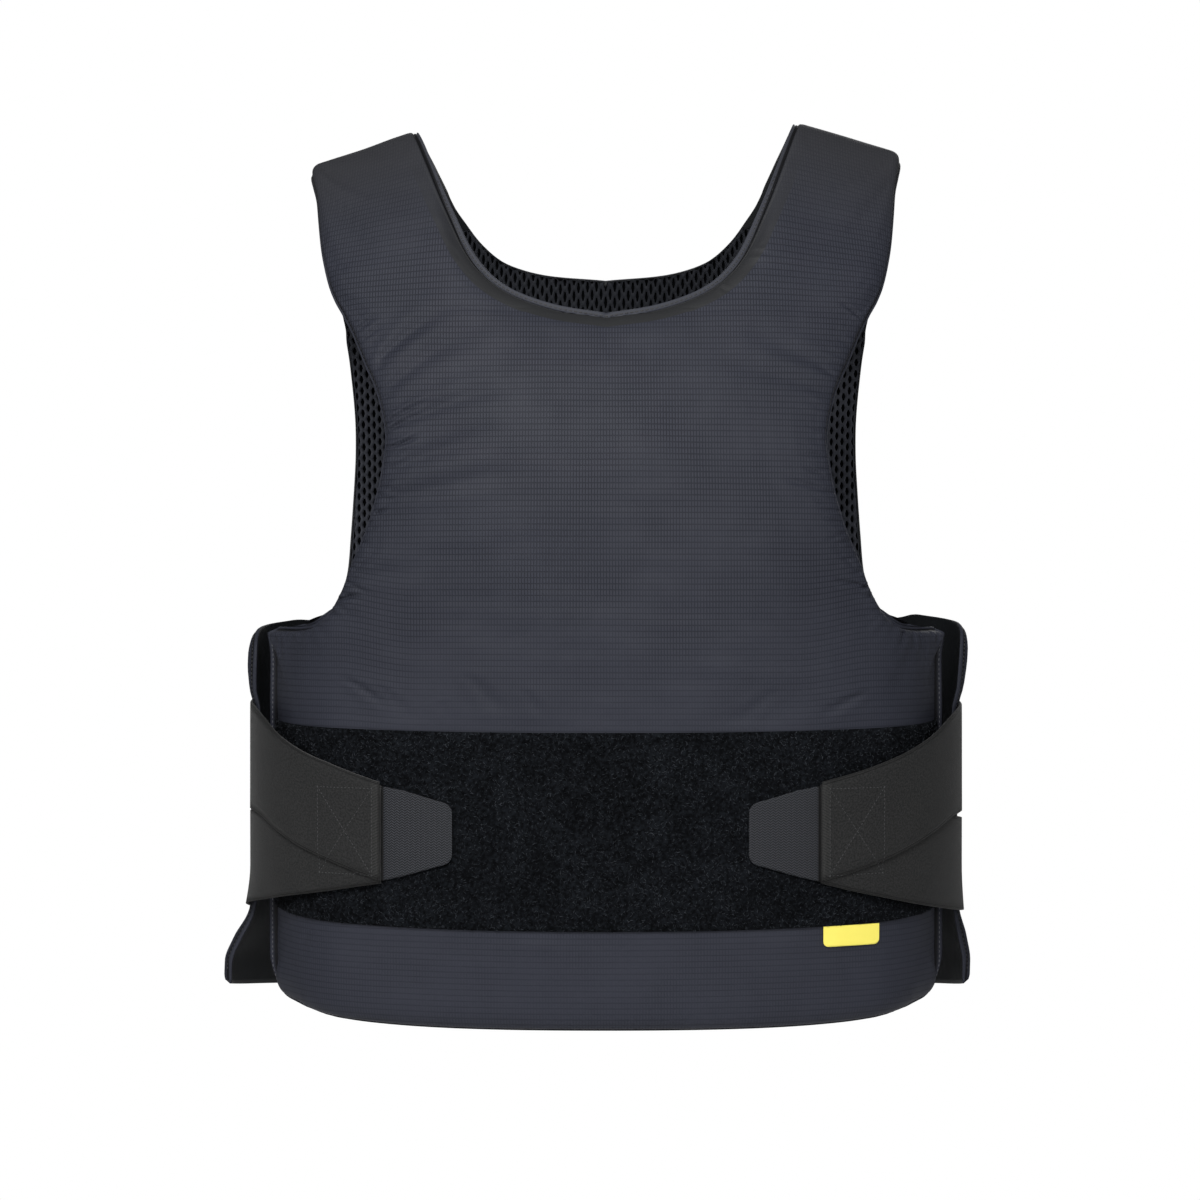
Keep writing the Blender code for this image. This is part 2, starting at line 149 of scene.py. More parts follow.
class Finish:
    # one material: its Principled shader and whatever feeds it
    def __init__(self, name, **constants):
        self.material = bpy.data.materials.new(name)
        self.material.use_nodes = True
        self.tree = self.material.node_tree
        self.shader = self.tree.nodes["Principled BSDF"]
        for socket, value in constants.items():
            self.shader.inputs[socket.replace("_", " ")].default_value = value

    def feed(self, socket, value):
        if isinstance(value, Wire):
            self.tree.links.new(value.socket, socket)
        elif value is not None:
            socket.default_value = value

    def node(self, kind, settings=None, sockets=None, out=0):
        made = self.tree.nodes.new(kind)
        for key, value in (settings or {}).items():
            setattr(made, key, value)
        for key, value in (sockets or {}).items():
            self.feed(made.inputs[key], value)
        return Wire(self, made.outputs[out])

    def place(self):
        # the cloth's own coordinates, whole and in parts
        spot = self.node("ShaderNodeUVMap", {"uv_map": "cloth"})
        parts = self.node("ShaderNodeSeparateXYZ", None, {0: spot})
        return spot, [Wire(self, out) for out in parts.socket.node.outputs]

    def attribute(self, name):
        return self.node("ShaderNodeAttribute", {"attribute_name": name}, None, "Fac")

    def noise(self, vector, scale, detail=2.0, roughness=0.5):
        sockets = {"Vector": vector, "Scale": scale, "Detail": detail, "Roughness": roughness}
        return self.node("ShaderNodeTexNoise", {"noise_dimensions": "3D"}, sockets)

    def mix(self, share, first, second):
        settings = {"data_type": "RGBA"}
        sockets = {"Factor": share, 6: first, 7: second}
        return self.node("ShaderNodeMix", settings, sockets, 2)

    def ease(self, value, start, end):
        settings = {"interpolation_type": "SMOOTHSTEP"}
        sockets = {"Value": value, "From Min": start, "From Max": end}
        return self.node("ShaderNodeMapRange", settings, sockets)

    def line(self, across, pitch, sharpness):
        # 1 along each line of a set that lies pitch apart, and 0 between
        wave = (across * (2 * math.pi / pitch)).math("COSINE", across * (2 * math.pi / pitch))
        return (wave * 0.5 + 0.5) ** sharpness

    def bump(self, height, depth, strength):
        sockets = {"Strength": strength, "Distance": depth, "Height": height}
        return self.node("ShaderNodeBump", None, sockets)

    def paint(self, **wires):
        for socket, value in wires.items():
            self.feed(self.shader.inputs[socket.replace("_", " ")], value)
        return self.material


def rgb(red, green, blue):
    return (red, green, blue, 1)


ripstopLook = {
    "cloth": (0.0232, 0.0250, 0.0345),
    "thread": rgb(0.0060, 0.0068, 0.0105),
    "bandAcross": 3.83 * mm,   # level threads, up the cloth
    "bandUp": 1.95 * mm,       # upright threads, across the cloth
    "facing": rgb(0.0165, 0.0170, 0.0182),
    "rim": rgb(0.0330, 0.0350, 0.0430),
    "facingFrom": 14.6 * mm,
    "facingTo": 15.3 * mm,
    "facingEnds": (-0.112, 0.005),
    "seam": rgb(0.0015, 0.0015, 0.002),
    "lipHighlight": rgb(0.050, 0.050, 0.050),
}


def makeRipstop(name, shadeScale=1.0):
    finish = Finish(name, Roughness=0.5, Specular_IOR_Level=0.12)
    spot, (across, up, _) = finish.place()
    broad = finish.noise(spot, 6, 2)
    patch = finish.noise(spot, 22, 2)
    wander = (broad - 0.5) * (1.5 * mm)
    level = finish.line(up + wander, ripstopLook["bandAcross"], 7)
    upright = finish.line(across + wander, ripstopLook["bandUp"], 2.2)
    # the grid lines are drawn stronger in random patches and on the chest, fainter on the belly
    gridPatches = finish.ease(patch, 0.30, 0.66)
    chest = finish.ease(up, -0.42, -0.30)
    upright = upright * (0.12 + 0.26 * gridPatches + 0.42 * chest)
    grid = level.math("MAXIMUM", level * (0.36 + 0.16 * gridPatches + 0.26 * chest), upright)
    neck = finish.attribute("neckDistance")
    onChest = 1 - finish.ease(up, *ripstopLook["facingEnds"])
    nearNeck = 1 - finish.ease(neck, ripstopLook["facingFrom"], ripstopLook["facingTo"])
    past = finish.attribute("pastSeam")
    facing = nearNeck * onChest * finish.ease(past, 0.0, 0.6)
    flange = 1 - finish.ease(past, -0.6, 0.0)
    strap = finish.ease(up, -0.10, 0.01)
    grid = grid * (1 - facing) * (1 - 0.65 * strap) * (1 - flange)
    fine = finish.noise(spot, 2600, 1)
    cloth = [c * shadeScale for c in ripstopLook["cloth"]]
    light = finish.mix(broad, rgb(*[c * 0.94 for c in cloth]), rgb(*[c * 1.06 for c in cloth]))
    # the strap tops are painted darker and warmer: painted shade where they face up, away from the lamps
    warmStrapShade = rgb(0.0235 * shadeScale, 0.0235 * shadeScale, 0.0245 * shadeScale)
    light = finish.mix(strap * 0.75, light, warmStrapShade)
    colour = finish.mix(grid, light, ripstopLook["thread"])
    colour = finish.mix(facing, colour, ripstopLook["facing"])
    # at the neck the flange is painted lighter: a painted highlight where its fold catches the light
    colour = finish.mix(flange * nearNeck * 0.7, colour, ripstopLook["rim"])
    # the seam's dark line beside the rim, painted shade in its groove, and at the neck a painted highlight
    # along it: a light lip where the flange's fold catches the light
    seam = 1 - finish.ease(past.math("ABSOLUTE", past), 0.5, 1.35)
    lipHighlight = finish.ease(past, 1.2, 1.5) * (1 - finish.ease(past, 2.4, 2.9))
    colour = finish.mix(lipHighlight * facing * 0.45, colour, ripstopLook["lipHighlight"])
    # the seam's dark line is painted shade in the groove where the padding meets the flange
    colour = finish.mix(seam * 0.92, colour, ripstopLook["seam"])
    height = grid * -1.0 + fine * 0.25 - facing * 0.8
    normal = finish.bump(height, 0.14 * mm, 0.8)
    rough = 0.47 + 0.12 * patch + 0.1 * grid
    return finish.paint(Base_Color=colour, Roughness=rough, Normal=normal)


def makeAirMesh():
    finish = Finish("air_mesh_knit", Roughness=0.7, Specular_IOR_Level=0.15)
    spot, (across, up, _) = finish.place()
    yarn = finish.line(up + across * 0.4, 0.55 * mm, 1.5)
    broad = finish.noise(spot, 14, 2)
    colour = finish.mix(broad, rgb(0.030, 0.032, 0.040), rgb(0.050, 0.053, 0.065))
    # the mesh is painted darker towards the neck: painted shade inside the neck opening
    colour = finish.mix(finish.ease(up, -0.17, -0.12) * 0.85, colour, rgb(0.009, 0.010, 0.013))
    colour = finish.mix(yarn * 0.35, colour, rgb(0.008, 0.009, 0.011))
    return finish.paint(Base_Color=colour, Normal=finish.bump(yarn, 0.12 * mm, 0.7))


def makeMeshBacking():
    finish = Finish("spacer_backing", Roughness=0.9, Specular_IOR_Level=0.02)
    _, (across, up, _) = finish.place()
    knit = finish.line(across, 0.9 * mm, 2) * finish.line(up, 0.9 * mm, 2)
    colour = finish.mix(knit, rgb(0.0018, 0.0020, 0.0024), rgb(0.006, 0.0065, 0.0075))
    return finish.paint(Base_Color=colour, Normal=finish.bump(knit, 0.2 * mm, 0.8))


def makeInnerCloth():
    finish = Finish("black_inner_cloth", Roughness=0.55, Specular_IOR_Level=0.25)
    spot, (across, up, _) = finish.place()
    broad = finish.noise(spot, 18, 2)
    weave = finish.line(across, 0.7 * mm, 1.2) * finish.line(up, 0.7 * mm, 1.2)
    colour = finish.mix(broad, rgb(0.0030, 0.0037, 0.0045), rgb(0.0060, 0.0072, 0.0085))
    return finish.paint(Base_Color=colour, Normal=finish.bump(weave, 0.06 * mm, 0.5))


def makePile(name, dark, light):
    finish = Finish(name, Roughness=0.92, Specular_IOR_Level=0.05)
    spot = finish.node("ShaderNodeTexCoord", None, None, "Object")
    clump = finish.noise(spot, 430, 3, 0.7)
    broad = finish.noise(spot, 60, 2)
    share = finish.ease(clump * 0.8 + broad * 0.2, 0.38, 0.68)
    colour = finish.mix(share, dark, light)
    return finish.paint(Base_Color=colour, Normal=finish.bump(clump, 0.5 * mm, 0.9))


def makeElastic():
    finish = Finish("knitted_elastic", Roughness=0.62, Specular_IOR_Level=0.12, Sheen_Weight=0.07,
                    Sheen_Roughness=0.45)
    spot, (along, across, _) = finish.place()
    rib = finish.line(across, 0.85 * mm, 1.2)
    tick = finish.line(along, 0.62 * mm, 1.2)
    broad = finish.noise(spot, 24, 2)
    fine = finish.ease(finish.noise(spot, 820, 3, 0.7), 0.40, 0.62)
    edge = finish.attribute("edgeDistance")
    selvedge = 1 - finish.ease(edge, 0.5 * mm, 0.9 * mm)
    groove = finish.line(edge - 1.5 * mm, 8 * mm, 60) * (1 - finish.ease(edge, 3 * mm, 4 * mm))
    colour = finish.mix(broad * 0.25 + fine * 0.75, rgb(0.0055, 0.0058, 0.0062),
                        rgb(0.0235, 0.0237, 0.0235))
    colour = finish.mix(rib * tick * 0.6, colour, rgb(0.0055, 0.0055, 0.0055))
    hem = finish.attribute("hem")
    slant = finish.line(along * 0.8 + across, 1.9 * mm, 1.5)
    colour = finish.mix(hem * slant * 0.40, colour, rgb(0.042, 0.042, 0.040))
    colour = finish.mix(selvedge * 0.55, colour, rgb(0.0060, 0.0060, 0.0060))
    colour = finish.mix(groove * 0.8, colour, rgb(0.002, 0.002, 0.002))
    normal = finish.bump(rib * 0.6 + tick * 0.5 + fine * 0.5 - groove * 2, 0.12 * mm, 0.8)
    return finish.paint(Base_Color=colour, Roughness=0.58 + 0.1 * fine, Normal=normal)


def makeHookTape():
    finish = Finish("hook_tape_back", Roughness=0.6, Specular_IOR_Level=0.2)
    spot, (across, up, _) = finish.place()
    zigzag = (across / (3.5 * mm)).math("PINGPONG", across / (3.5 * mm), 0.5)
    twill = finish.line(up + zigzag * (2.8 * mm), 1.70 * mm, 1.3)
    column = finish.line(across, 1.75 * mm, 6)
    fine = finish.noise(spot, 1500, 2)
    colour = finish.mix(twill * 0.75 + fine * 0.2, rgb(0.0004, 0.0005, 0.0008),
                        rgb(0.0340, 0.0365, 0.0440))
    colour = finish.mix(column * 0.35, colour, rgb(0.0070, 0.0075, 0.0090))
    shade = 1 - finish.ease(across, 1.0 * mm, 2.0 * mm)
    colour = finish.mix(shade, colour, rgb(0.0008, 0.0008, 0.0010))
    normal = finish.bump(twill - column * 0.4, 0.18 * mm, 0.9)
    return finish.paint(Base_Color=colour, Normal=normal)


def makeTagCloth():
    finish = Finish("yellow_woven_tag", Roughness=0.5)
    spot, (across, up, _) = finish.place()
    warp = finish.line(across, 0.42 * mm, 1.3)
    weft = finish.line(up, 0.36 * mm, 1.3)
    broad = finish.noise(spot, 60, 2)
    colour = finish.mix(broad, rgb(0.78, 0.685, 0.100), rgb(0.86, 0.755, 0.132))
    colour = finish.mix(warp * weft * 0.3, colour, rgb(0.55, 0.46, 0.05))
    return finish.paint(Base_Color=colour, Normal=finish.bump(warp + weft, 0.06 * mm, 0.7))


def makeThread(name, dark, light):
    finish = Finish(name, Roughness=0.55)
    spot = finish.node("ShaderNodeTexCoord", None, None, "Object")
    ply = finish.noise(spot, 1800, 1)
    colour = finish.mix(ply, dark, light)
    return finish.paint(Base_Color=colour, Normal=finish.bump(ply, 0.1 * mm, 0.5))


def makeFloorPaint():
    finish = Finish("pale_floor", Roughness=0.8)
    spot = finish.node("ShaderNodeTexCoord", None, None, "Object")
    grain = finish.noise(spot, 3, 2)
    return finish.paint(Base_Color=finish.mix(grain, rgb(0.80, 0.80, 0.80), rgb(0.83, 0.83, 0.83)))


form = {
    "heights": (-0.600, -0.500, -0.400, -0.330, -0.260, -0.190, -0.126),
    "halfWidths": (0.234, 0.234, 0.234, 0.234, 0.240, 0.250, 0.264),
    "frontDepths": (0.121, 0.127, 0.127, 0.125, 0.119, 0.106, 0.083),
    "backDepths": (0.120, 0.122, 0.124, 0.127, 0.130, 0.130, 0.112),
    "roundness": 2.2,
    "rollStart": -0.126,
    "rollLength": 0.155,
    "rollDepths": (1.0, 0.80, 0.45, 0.0),
    "rollHeights": (0.0, 0.40, 1.0, 1.0),
    "neckSideX": 0.128,
    "shoulderSlope": 0.35,
    "raisedShoulder": 0.045,
}


def smoothValue(at, places, values):
    places, values = np.asarray(places, float), np.asarray(values, float)
    at = np.clip(at, places[0], places[-1])
    slopes = np.gradient(values, places)
    return hermite(at, places, values, slopes)


def hermite(at, places, values, slopes):
    i = np.clip(np.searchsorted(places, at) - 1, 0, len(places) - 2)
    width = places[i + 1] - places[i]
    t = (at - places[i]) / width
    start = (1 + 2 * t) * (1 - t) ** 2 * values[i] + t * (1 - t) ** 2 * width * slopes[i]
    end = t * t * (3 - 2 * t) * values[i + 1] - t * t * (1 - t) * width * slopes[i + 1]
    return start + end


def steadyValue(at, places, values):
    # a smooth curve that never overshoots its values
    places, values = np.asarray(places, float), np.asarray(values, float)
    steps = np.diff(values) / np.diff(places)
    together = steps[:-1] * steps[1:]
    both = np.where(together > 0, steps[:-1] + steps[1:], 1)
    slopes = np.concatenate(([steps[0]], np.where(together > 0, 2 * together / both, 0), [steps[-1]]))
    return hermite(np.clip(at, places[0], places[-1]), places, values, slopes)


def ease(at, start, end):
    t = np.clip((at - start) / (end - start), 0, 1)
    return t * t * (3 - 2 * t)


def between(at, low, full, stillFull, high):
    return ease(at, low, full) * (1 - ease(at, stillFull, high))


def bezier(t, ends):
    a, b, c, d = ends
    return (1 - t) ** 3 * a + 3 * (1 - t) ** 2 * t * b + 3 * (1 - t) * t * t * c + t**3 * d


def ridgeHeight(x):
    return form["shoulderSlope"] * (form["neckSideX"] - np.abs(x))


def formPoint(turn, path):
    # a turn is the angle from the front centre; a path is the way up and over the shoulder
    turn, path = np.broadcast_arrays(np.asarray(turn, float), np.asarray(path, float))
    share = (path - form["rollStart"]) / form["rollLength"]
    over = share > 1
    turn = np.where(over, np.copysign(np.pi, turn) - turn, turn)
    share = np.where(over, 2 - share, share)
    height = np.minimum(path, form["rollStart"])
    sine, cosine = np.sin(turn), np.cos(turn)
    n = form["roundness"]
    radius = (np.abs(sine) ** n + np.abs(cosine) ** n) ** (-1 / n)
    front = smoothValue(height, form["heights"], form["frontDepths"])
    back = smoothValue(height, form["heights"], form["backDepths"])
    x = smoothValue(height, form["heights"], form["halfWidths"]) * radius * sine
    y = -np.where(cosine > 0, front, back) * radius * cosine
    rolled = np.clip(share, 0, None)
    rise = bezier(rolled, form["rollHeights"])
    top = ridgeHeight(x) + form["raisedShoulder"] * np.maximum(x, 0) * rise
    z = np.where(share > 0, form["rollStart"] + (top - form["rollStart"]) * rise, path)
    y = np.where(share > 0, y * bezier(rolled, form["rollDepths"]), y)
    return np.stack((x, y, z), axis=-1)


def formNormal(turn, path):
    step = 1e-4
    across = formPoint(turn + step, path) - formPoint(turn - step, path)
    along = formPoint(turn, path + step) - formPoint(turn, path - step)
    outward = np.cross(across, along)
    return outward / np.linalg.norm(outward, axis=-1, keepdims=True)


def overForm(turn, path, offset):
    offset = np.asarray(offset, float)
    return formPoint(turn, path) + offset[..., None] * formNormal(turn, path)


def rollPath(share):
    return form["rollStart"] + share * form["rollLength"]


def findTurn(x, height, behind=False):
    low = np.minimum(height, form["rollStart"])
    part = np.minimum(x / smoothValue(low, form["heights"], form["halfWidths"]), 1)
    n = form["roundness"]
    turn = np.arctan2(part, (1 - part**n) ** (1 / n))
    return np.pi - turn if behind else turn


def turnOver(x, height, rise):
    # the turn at which a point this far out from the form has this x
    turn = findTurn(x, height)
    for _ in range(6):
        turn = findTurn(x - rise * formNormal(turn, height)[..., 0], height)
    return turn


def findPath(x, height):
    if height <= form["rollStart"]:
        return height
    wanted = (height - form["rollStart"]) / (ridgeHeight(x) - form["rollStart"])
    shares = np.linspace(0, 1, 2001)
    return float(rollPath(np.interp(wanted, bezier(shares, form["rollHeights"]), shares)))


def girth(turn, path):
    # the way round the form from the front centre, along a level line
    steps = np.linspace(0, 1, 33)
    ring = formPoint(np.asarray(turn)[..., None] * steps, np.asarray(path)[..., None] + 0 * steps)
    return np.sign(turn) * np.linalg.norm(np.diff(ring, axis=-2), axis=-1).sum(axis=-1)


# rows from the hem up: inner x and height, outer x and height, outer turn; None is the side edge
front = {
    "rows": (
        (0, -0.599, 0.205, -0.592), (0, -0.593, 0.226, -0.5875), (0, -0.578, None, -0.573),
        (0, -0.553, None, -0.553), (0, -0.531, None, -0.531), (0, -0.499, None, -0.499),
        (0, -0.467, None, -0.467), (0, -0.435, None, -0.435), (0, -0.403, None, -0.403),
        (0, -0.386, None, -0.379), (0, -0.374, None, -0.361), (0, -0.362, None, -0.349),
        (0, -0.349, 0.2285, -0.342), (0, -0.334, 0.2145, -0.342), (0, -0.317, 0.201, -0.341),
        (0, -0.298, 0.187, -0.334), (0, -0.277, 0.176, -0.318), (0, -0.255, 0.1680, -0.293),
        (0, -0.233, 0.1573, -0.262), (0, -0.211, 0.150, -0.232), (0, -0.189, 0.1475, -0.205),
        (0, -0.168, 0.153, -0.180), (0, -0.147, 0.163, -0.157), (0, -0.131, 0.1685, -0.144),
        (0, -0.1236, 0.1715, -0.137), (0.028, -0.1192, 0.178, -0.1245),
        (0.055, -0.1107, 0.184, -0.114), (0.074, -0.0995, 0.1885, -0.1035),
        (0.089, -0.082, 0.1922, -0.0905), (0.100, -0.060, 0.1953, -0.0762),
        (0.110, -0.038, 0.198, -0.0577), (0.119, -0.017, 0.2005, -0.0404),
    ),
    # share of the roll, inner x, outer x
    "strapRows": (
        (0.80, 0.1235, 0.2025), (0.90, 0.1265, 0.2038), (1.0, 0.128, 0.204),
        (1.15, 0.125, 0.204), (1.30, 0.1185, 0.2035), (1.42, 0.1115, 0.2025),
    ),
    "sideTurn": 80,
    "padding": 0.012,
    "strapPadding": 0.009,
    "strapThin": (0.1, 0.6),
    "strapLift": 0.0055,
    "strapLiftFrom": 0.65,
    "strapLiftTo": 0.90,
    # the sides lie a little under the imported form, so that their flange shows
    "tuck": 0.0082,
    "tuckTurns": (46, 66),
    "tuckEnds": (-0.365, -0.31),
    "sideEnds": (-0.3465, -0.3418),
    "sideKind": "side",
    "columns": 93,
    # step between rows, by path
    "rowPaths": (-0.600, -0.540, -0.530, -0.410, -0.400, -0.385, -0.150, -0.110, -0.060, 0.10),
    "rowSteps": (2.2, 2.2, 6.0, 6.0, 1.5, 1.3, 1.3, 1.8, 2.6, 2.6),
}
back = {
    "rows": (
        (0, -0.594, None, -0.583), (0, -0.589, None, -0.579), (0, -0.575, None, -0.5665),
        (0, -0.553, None, -0.553), (0, -0.531, None, -0.531), (0, -0.499, None, -0.499),
        (0, -0.467, None, -0.467), (0, -0.435, None, -0.435), (0, -0.403, None, -0.403),
        (0, -0.395, None, -0.383), (0, -0.388, None, -0.366), (0, -0.381, None, -0.353, 84.8),
        (0, -0.373, None, -0.3445, 87.5), (0, -0.364, None, -0.339, 92),
        (0, -0.353, None, -0.3365, 100), (0, -0.340, 0.222, -0.3338),
        (0, -0.324, 0.211, -0.332), (0, -0.306, 0.201, -0.3275), (0, -0.286, 0.1935, -0.315),
        (0, -0.265, 0.1875, -0.297), (0, -0.243, 0.1852, -0.268), (0, -0.220, 0.1835, -0.236),
        (0, -0.197, 0.1825, -0.208), (0, -0.174, 0.183, -0.182), (0, -0.151, 0.185, -0.158),
        (0, -0.128, 0.1875, -0.136), (0, -0.105, 0.189, -0.122), (0, -0.089, 0.1905, -0.112),
        (0, -0.0815, 0.1915, -0.107), (0.042, -0.0785, 0.1935, -0.096),
        (0.072, -0.071, 0.1955, -0.0865), (0.0895, -0.0585, 0.1975, -0.077),
    ),
    "strapRows": (
        (1.55, 0.100, 0.200), (1.47, 0.108, 0.2015), (1.42, 0.1115, 0.2025),
        (1.30, 0.1185, 0.2035), (1.15, 0.125, 0.204), (1.0, 0.128, 0.204),
    ),
    "sideTurn": 84,
    "padding": 0.0091,
    "tabPadding": 0.005,
    "tabShares": (0.45, 0.53),
    "wingPadding": 0.0072,
    "bandSqueeze": 0.0022,
    "squeezeEnds": (-0.551, -0.531, -0.388, -0.362),
    "liningRoom": 0.0036,
    "wingLift": 0.0072,
    "wingTurns": (100, 118),
    "sideEnds": (-0.356, -0.338),
    "sideKind": "wing",
    "flareTurn": 112,
    "flareHeights": (-0.600, -0.568, -0.551, -0.538, -0.531, -0.500, -0.394, -0.378, -0.330),
    "flares": {
        "right": (0.021, 0.020, 0.013, 0.006, 0.0038, 0.000, 0.0004, 0.0036, 0.0026),
        "left": (0.008, 0.008, 0.005, 0.0025, 0.0015, 0.000, 0.0005, 0.0045, 0.0085),
    },
    "columns": 72,
    "rowPaths": (-0.600, 0.10),
    "rowSteps": (3.4, 3.4),
}
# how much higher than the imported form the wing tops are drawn, between which turns and paths
wingRaised = {
    "front": {"right": 0.0075, "left": 0.0075, "turns": (30, 46), "paths": (-0.43, -0.35, -0.325, -0.255)},
    "back": {"right": 0.0035, "left": 0.0075, "turns": (124, 112), "paths": (-0.40, -0.345, -0.325, -0.25)},
}
edge = {
    "flange": 0.0028,      # thickness of the sewn rim
    "round": 0.0009,
    "grooveDepth": 0.0009,
    "grooveWidth": 0.0007,
    "climb": 4,
}
rimKinds = {
    # width of the flange, width over which the padding swells, thickness at the seam,
    # how far the flange stands out, and how straight the swell is
    "neck": (4.8, 15, 2.8, 0, 0),
    "strap": (2.0, 6, 4.6, 0, 0),
    "strapInner": (3.2, 6, 7.2, 5.4, 0),
    "armhole": (2.1, 14, 3.2, 0, 0),
    "side": (3.8, 42, 4.9, 8.8, 1),
    "wing": (2.2, 10, 3.4, 0, 0),
    "hem": (1.2, 16, 3.0, 0, 0),
}


def rowEnds(panel, behind):
    ends = []
    for innerX, innerZ, outerX, outerZ, *outerTurn in panel["rows"]:
        inner = (findTurn(innerX, innerZ, behind), findPath(innerX, innerZ))
        if outerX is None:
            outer = (math.radians(outerTurn[0] if outerTurn else panel["sideTurn"]), outerZ)
        else:
            outer = (findTurn(outerX, outerZ, behind), findPath(outerX, outerZ))
        ends.append(inner + outer)
    for share, innerX, outerX in panel["strapRows"]:
        path = rollPath(2 - share if behind else share)
        level = form["rollStart"]
        ends.append((findTurn(innerX, level, behind), path, findTurn(outerX, level, behind), path))
    return np.array(ends, float)


def panelLattice(panel, behind):
    # turn and path at each fine row and column of a half, and the row where the neck starts
    ends = rowEnds(panel, behind)
    centre = sum(row[0] == 0 for row in panel["rows"]) - 1
    lines = [formPoint(ends[:, k], ends[:, k + 1]) for k in (0, 2)]
    steps = sum(np.linalg.norm(np.diff(line, axis=0), axis=1) for line in lines) / 2
    places = np.concatenate(([0], np.cumsum(steps)))
    neck = places[centre]
    rows = []
    for start, end in ((0, neck), (neck, places[-1])):
        fine = np.linspace(start, end, 2001)
        heights = np.interp(fine, places, (ends[:, 1] + ends[:, 3]) / 2)
        density = 1 / (np.interp(heights, panel["rowPaths"], panel["rowSteps"]) * mm)
        # closer still at the hem and at the strap's end
        density *= 1 + 1.2 * np.exp(-(fine - places[0]) / 0.012) + 1.2 * np.exp((fine - places[-1]) / 0.01)
        total = np.concatenate(([0], np.cumsum((density[1:] + density[:-1]) / 2 * np.diff(fine))))
        count = 2 * math.ceil(total[-1] / 2)
        rows.append(np.interp(np.linspace(0, total[-1], count + 1), total, fine))
    at = np.concatenate((rows[0], rows[1][1:]))
    outerTurn = steadyValue(at, places, ends[:, 2])
    outerPath = steadyValue(at, places, ends[:, 3])
    innerTurn = np.full(len(at), ends[0, 0])
    innerPath = steadyValue(at, places[: centre + 1], ends[: centre + 1, 1])
    above = at > neck
    innerTurn[above] = steadyValue(at[above], places[centre:], ends[centre:, 0])
    innerPath[above] = steadyValue(at[above], places[centre:], ends[centre:, 1])
    s = np.linspace(0, 1, panel["columns"] + 1)
    across = s - 0.45 * np.sin(2 * np.pi * s) / (2 * np.pi)
    climb = across ** edge["climb"]
    turn = innerTurn[:, None] + (outerTurn - innerTurn)[:, None] * across
    path = innerPath[:, None] + (outerPath - innerPath)[:, None] * climb
    return turn, path, len(rows[0]) - 1


def raisedPath(turn, path, panel, side):
    facts = wingRaised["back" if panel is back else "front"]
    share = between(path, *facts["paths"])
    return path + facts[side] * share * ease(np.degrees(np.abs(turn)), *facts["turns"])


def frontOffset(turn, path, side):
    share = (path - form["rollStart"]) / form["rollLength"]
    lift = front["strapLift"] * ease(share, front["strapLiftFrom"], front["strapLiftTo"])
    degrees = np.degrees(np.abs(turn))
    return lift - front["tuck"] * ease(degrees, *front["tuckTurns"]) * (1 - ease(path, *front["tuckEnds"]))


def frontPadding(turn, path):
    share = (path - form["rollStart"]) / form["rollLength"]
    thin = ease(share, *front["strapThin"])
    return front["padding"] + (front["strapPadding"] - front["padding"]) * thin


def onTab(path):
    return ease(path, rollPath(back["tabShares"][0]), rollPath(back["tabShares"][1]))


def backOffset(turn, path, side):
    degrees = np.degrees(turn)
    lift = back["wingLift"] * (1 - ease(degrees, *back["wingTurns"]))
    flare = steadyValue(path, back["flareHeights"], back["flares"][side])
    flare = flare * (1 - ease(degrees, back["sideTurn"], back["flareTurn"]))
    return (np.maximum(back["liningRoom"], lift) + flare) * (1 - onTab(path))


def backPadding(turn, path):
    low, full, stillFull, high = back["squeezeEnds"]
    squeeze = back["bandSqueeze"] * (ease(path, low, full) - ease(path, stillFull, high))
    behindWing = ease(np.degrees(turn), *back["wingTurns"])
    wing = back["wingPadding"] - squeeze
    padding = wing + (back["padding"] - wing) * behindWing
    return padding + (back["tabPadding"] - padding) * onTab(path)


def rimSamples(panel, lattice):
    # points on a half's rim, with the measures of the rim at each
    turn, path, centre = lattice
    kinds = {kind: np.array(values, float) * mm for kind, values in rimKinds.items()}
    rims = (
        (turn[0], path[0], "hem"),
        (turn[-1], path[-1], "strap"),
        (turn[:, -1], path[:, -1], "outer"),
        (turn[centre:, 0], path[centre:, 0], "neck"),
    )
    found = []
    for rimTurn, rimPath, kind in rims:
        far = np.linspace(0, len(rimTurn) - 1, 4 * (len(rimTurn) - 1) + 1)
        index = np.arange(len(rimTurn))
        fineTurn, finePath = np.interp(far, index, rimTurn), np.interp(far, index, rimPath)
        points = formPoint(fineTurn, finePath)
        strap = ease(finePath, rollPath(0.15), rollPath(0.7))[:, None]
        if kind == "outer":
            low = 1 - ease(finePath, *panel["sideEnds"])[:, None]
            values = kinds["armhole"] + (kinds[panel["sideKind"]] - kinds["armhole"]) * low
            corner = ease(finePath, -0.597, -0.560)[:, None]
            nearHem = kinds["hem"] + (values - kinds["hem"]) * corner
            values = np.where(finePath[:, None] < -0.5, nearHem, values)
            values = values + (kinds["strap"] - values) * strap
        elif kind == "neck":
            values = kinds["neck"] + (kinds["strapInner"] - kinds["neck"]) * strap
        else:
            values = np.repeat(kinds[kind][None, :], len(points), axis=0)
        found.append((points, values, np.full(len(points), kind == "neck")))
    return [np.concatenate(part) for part in zip(*found)]


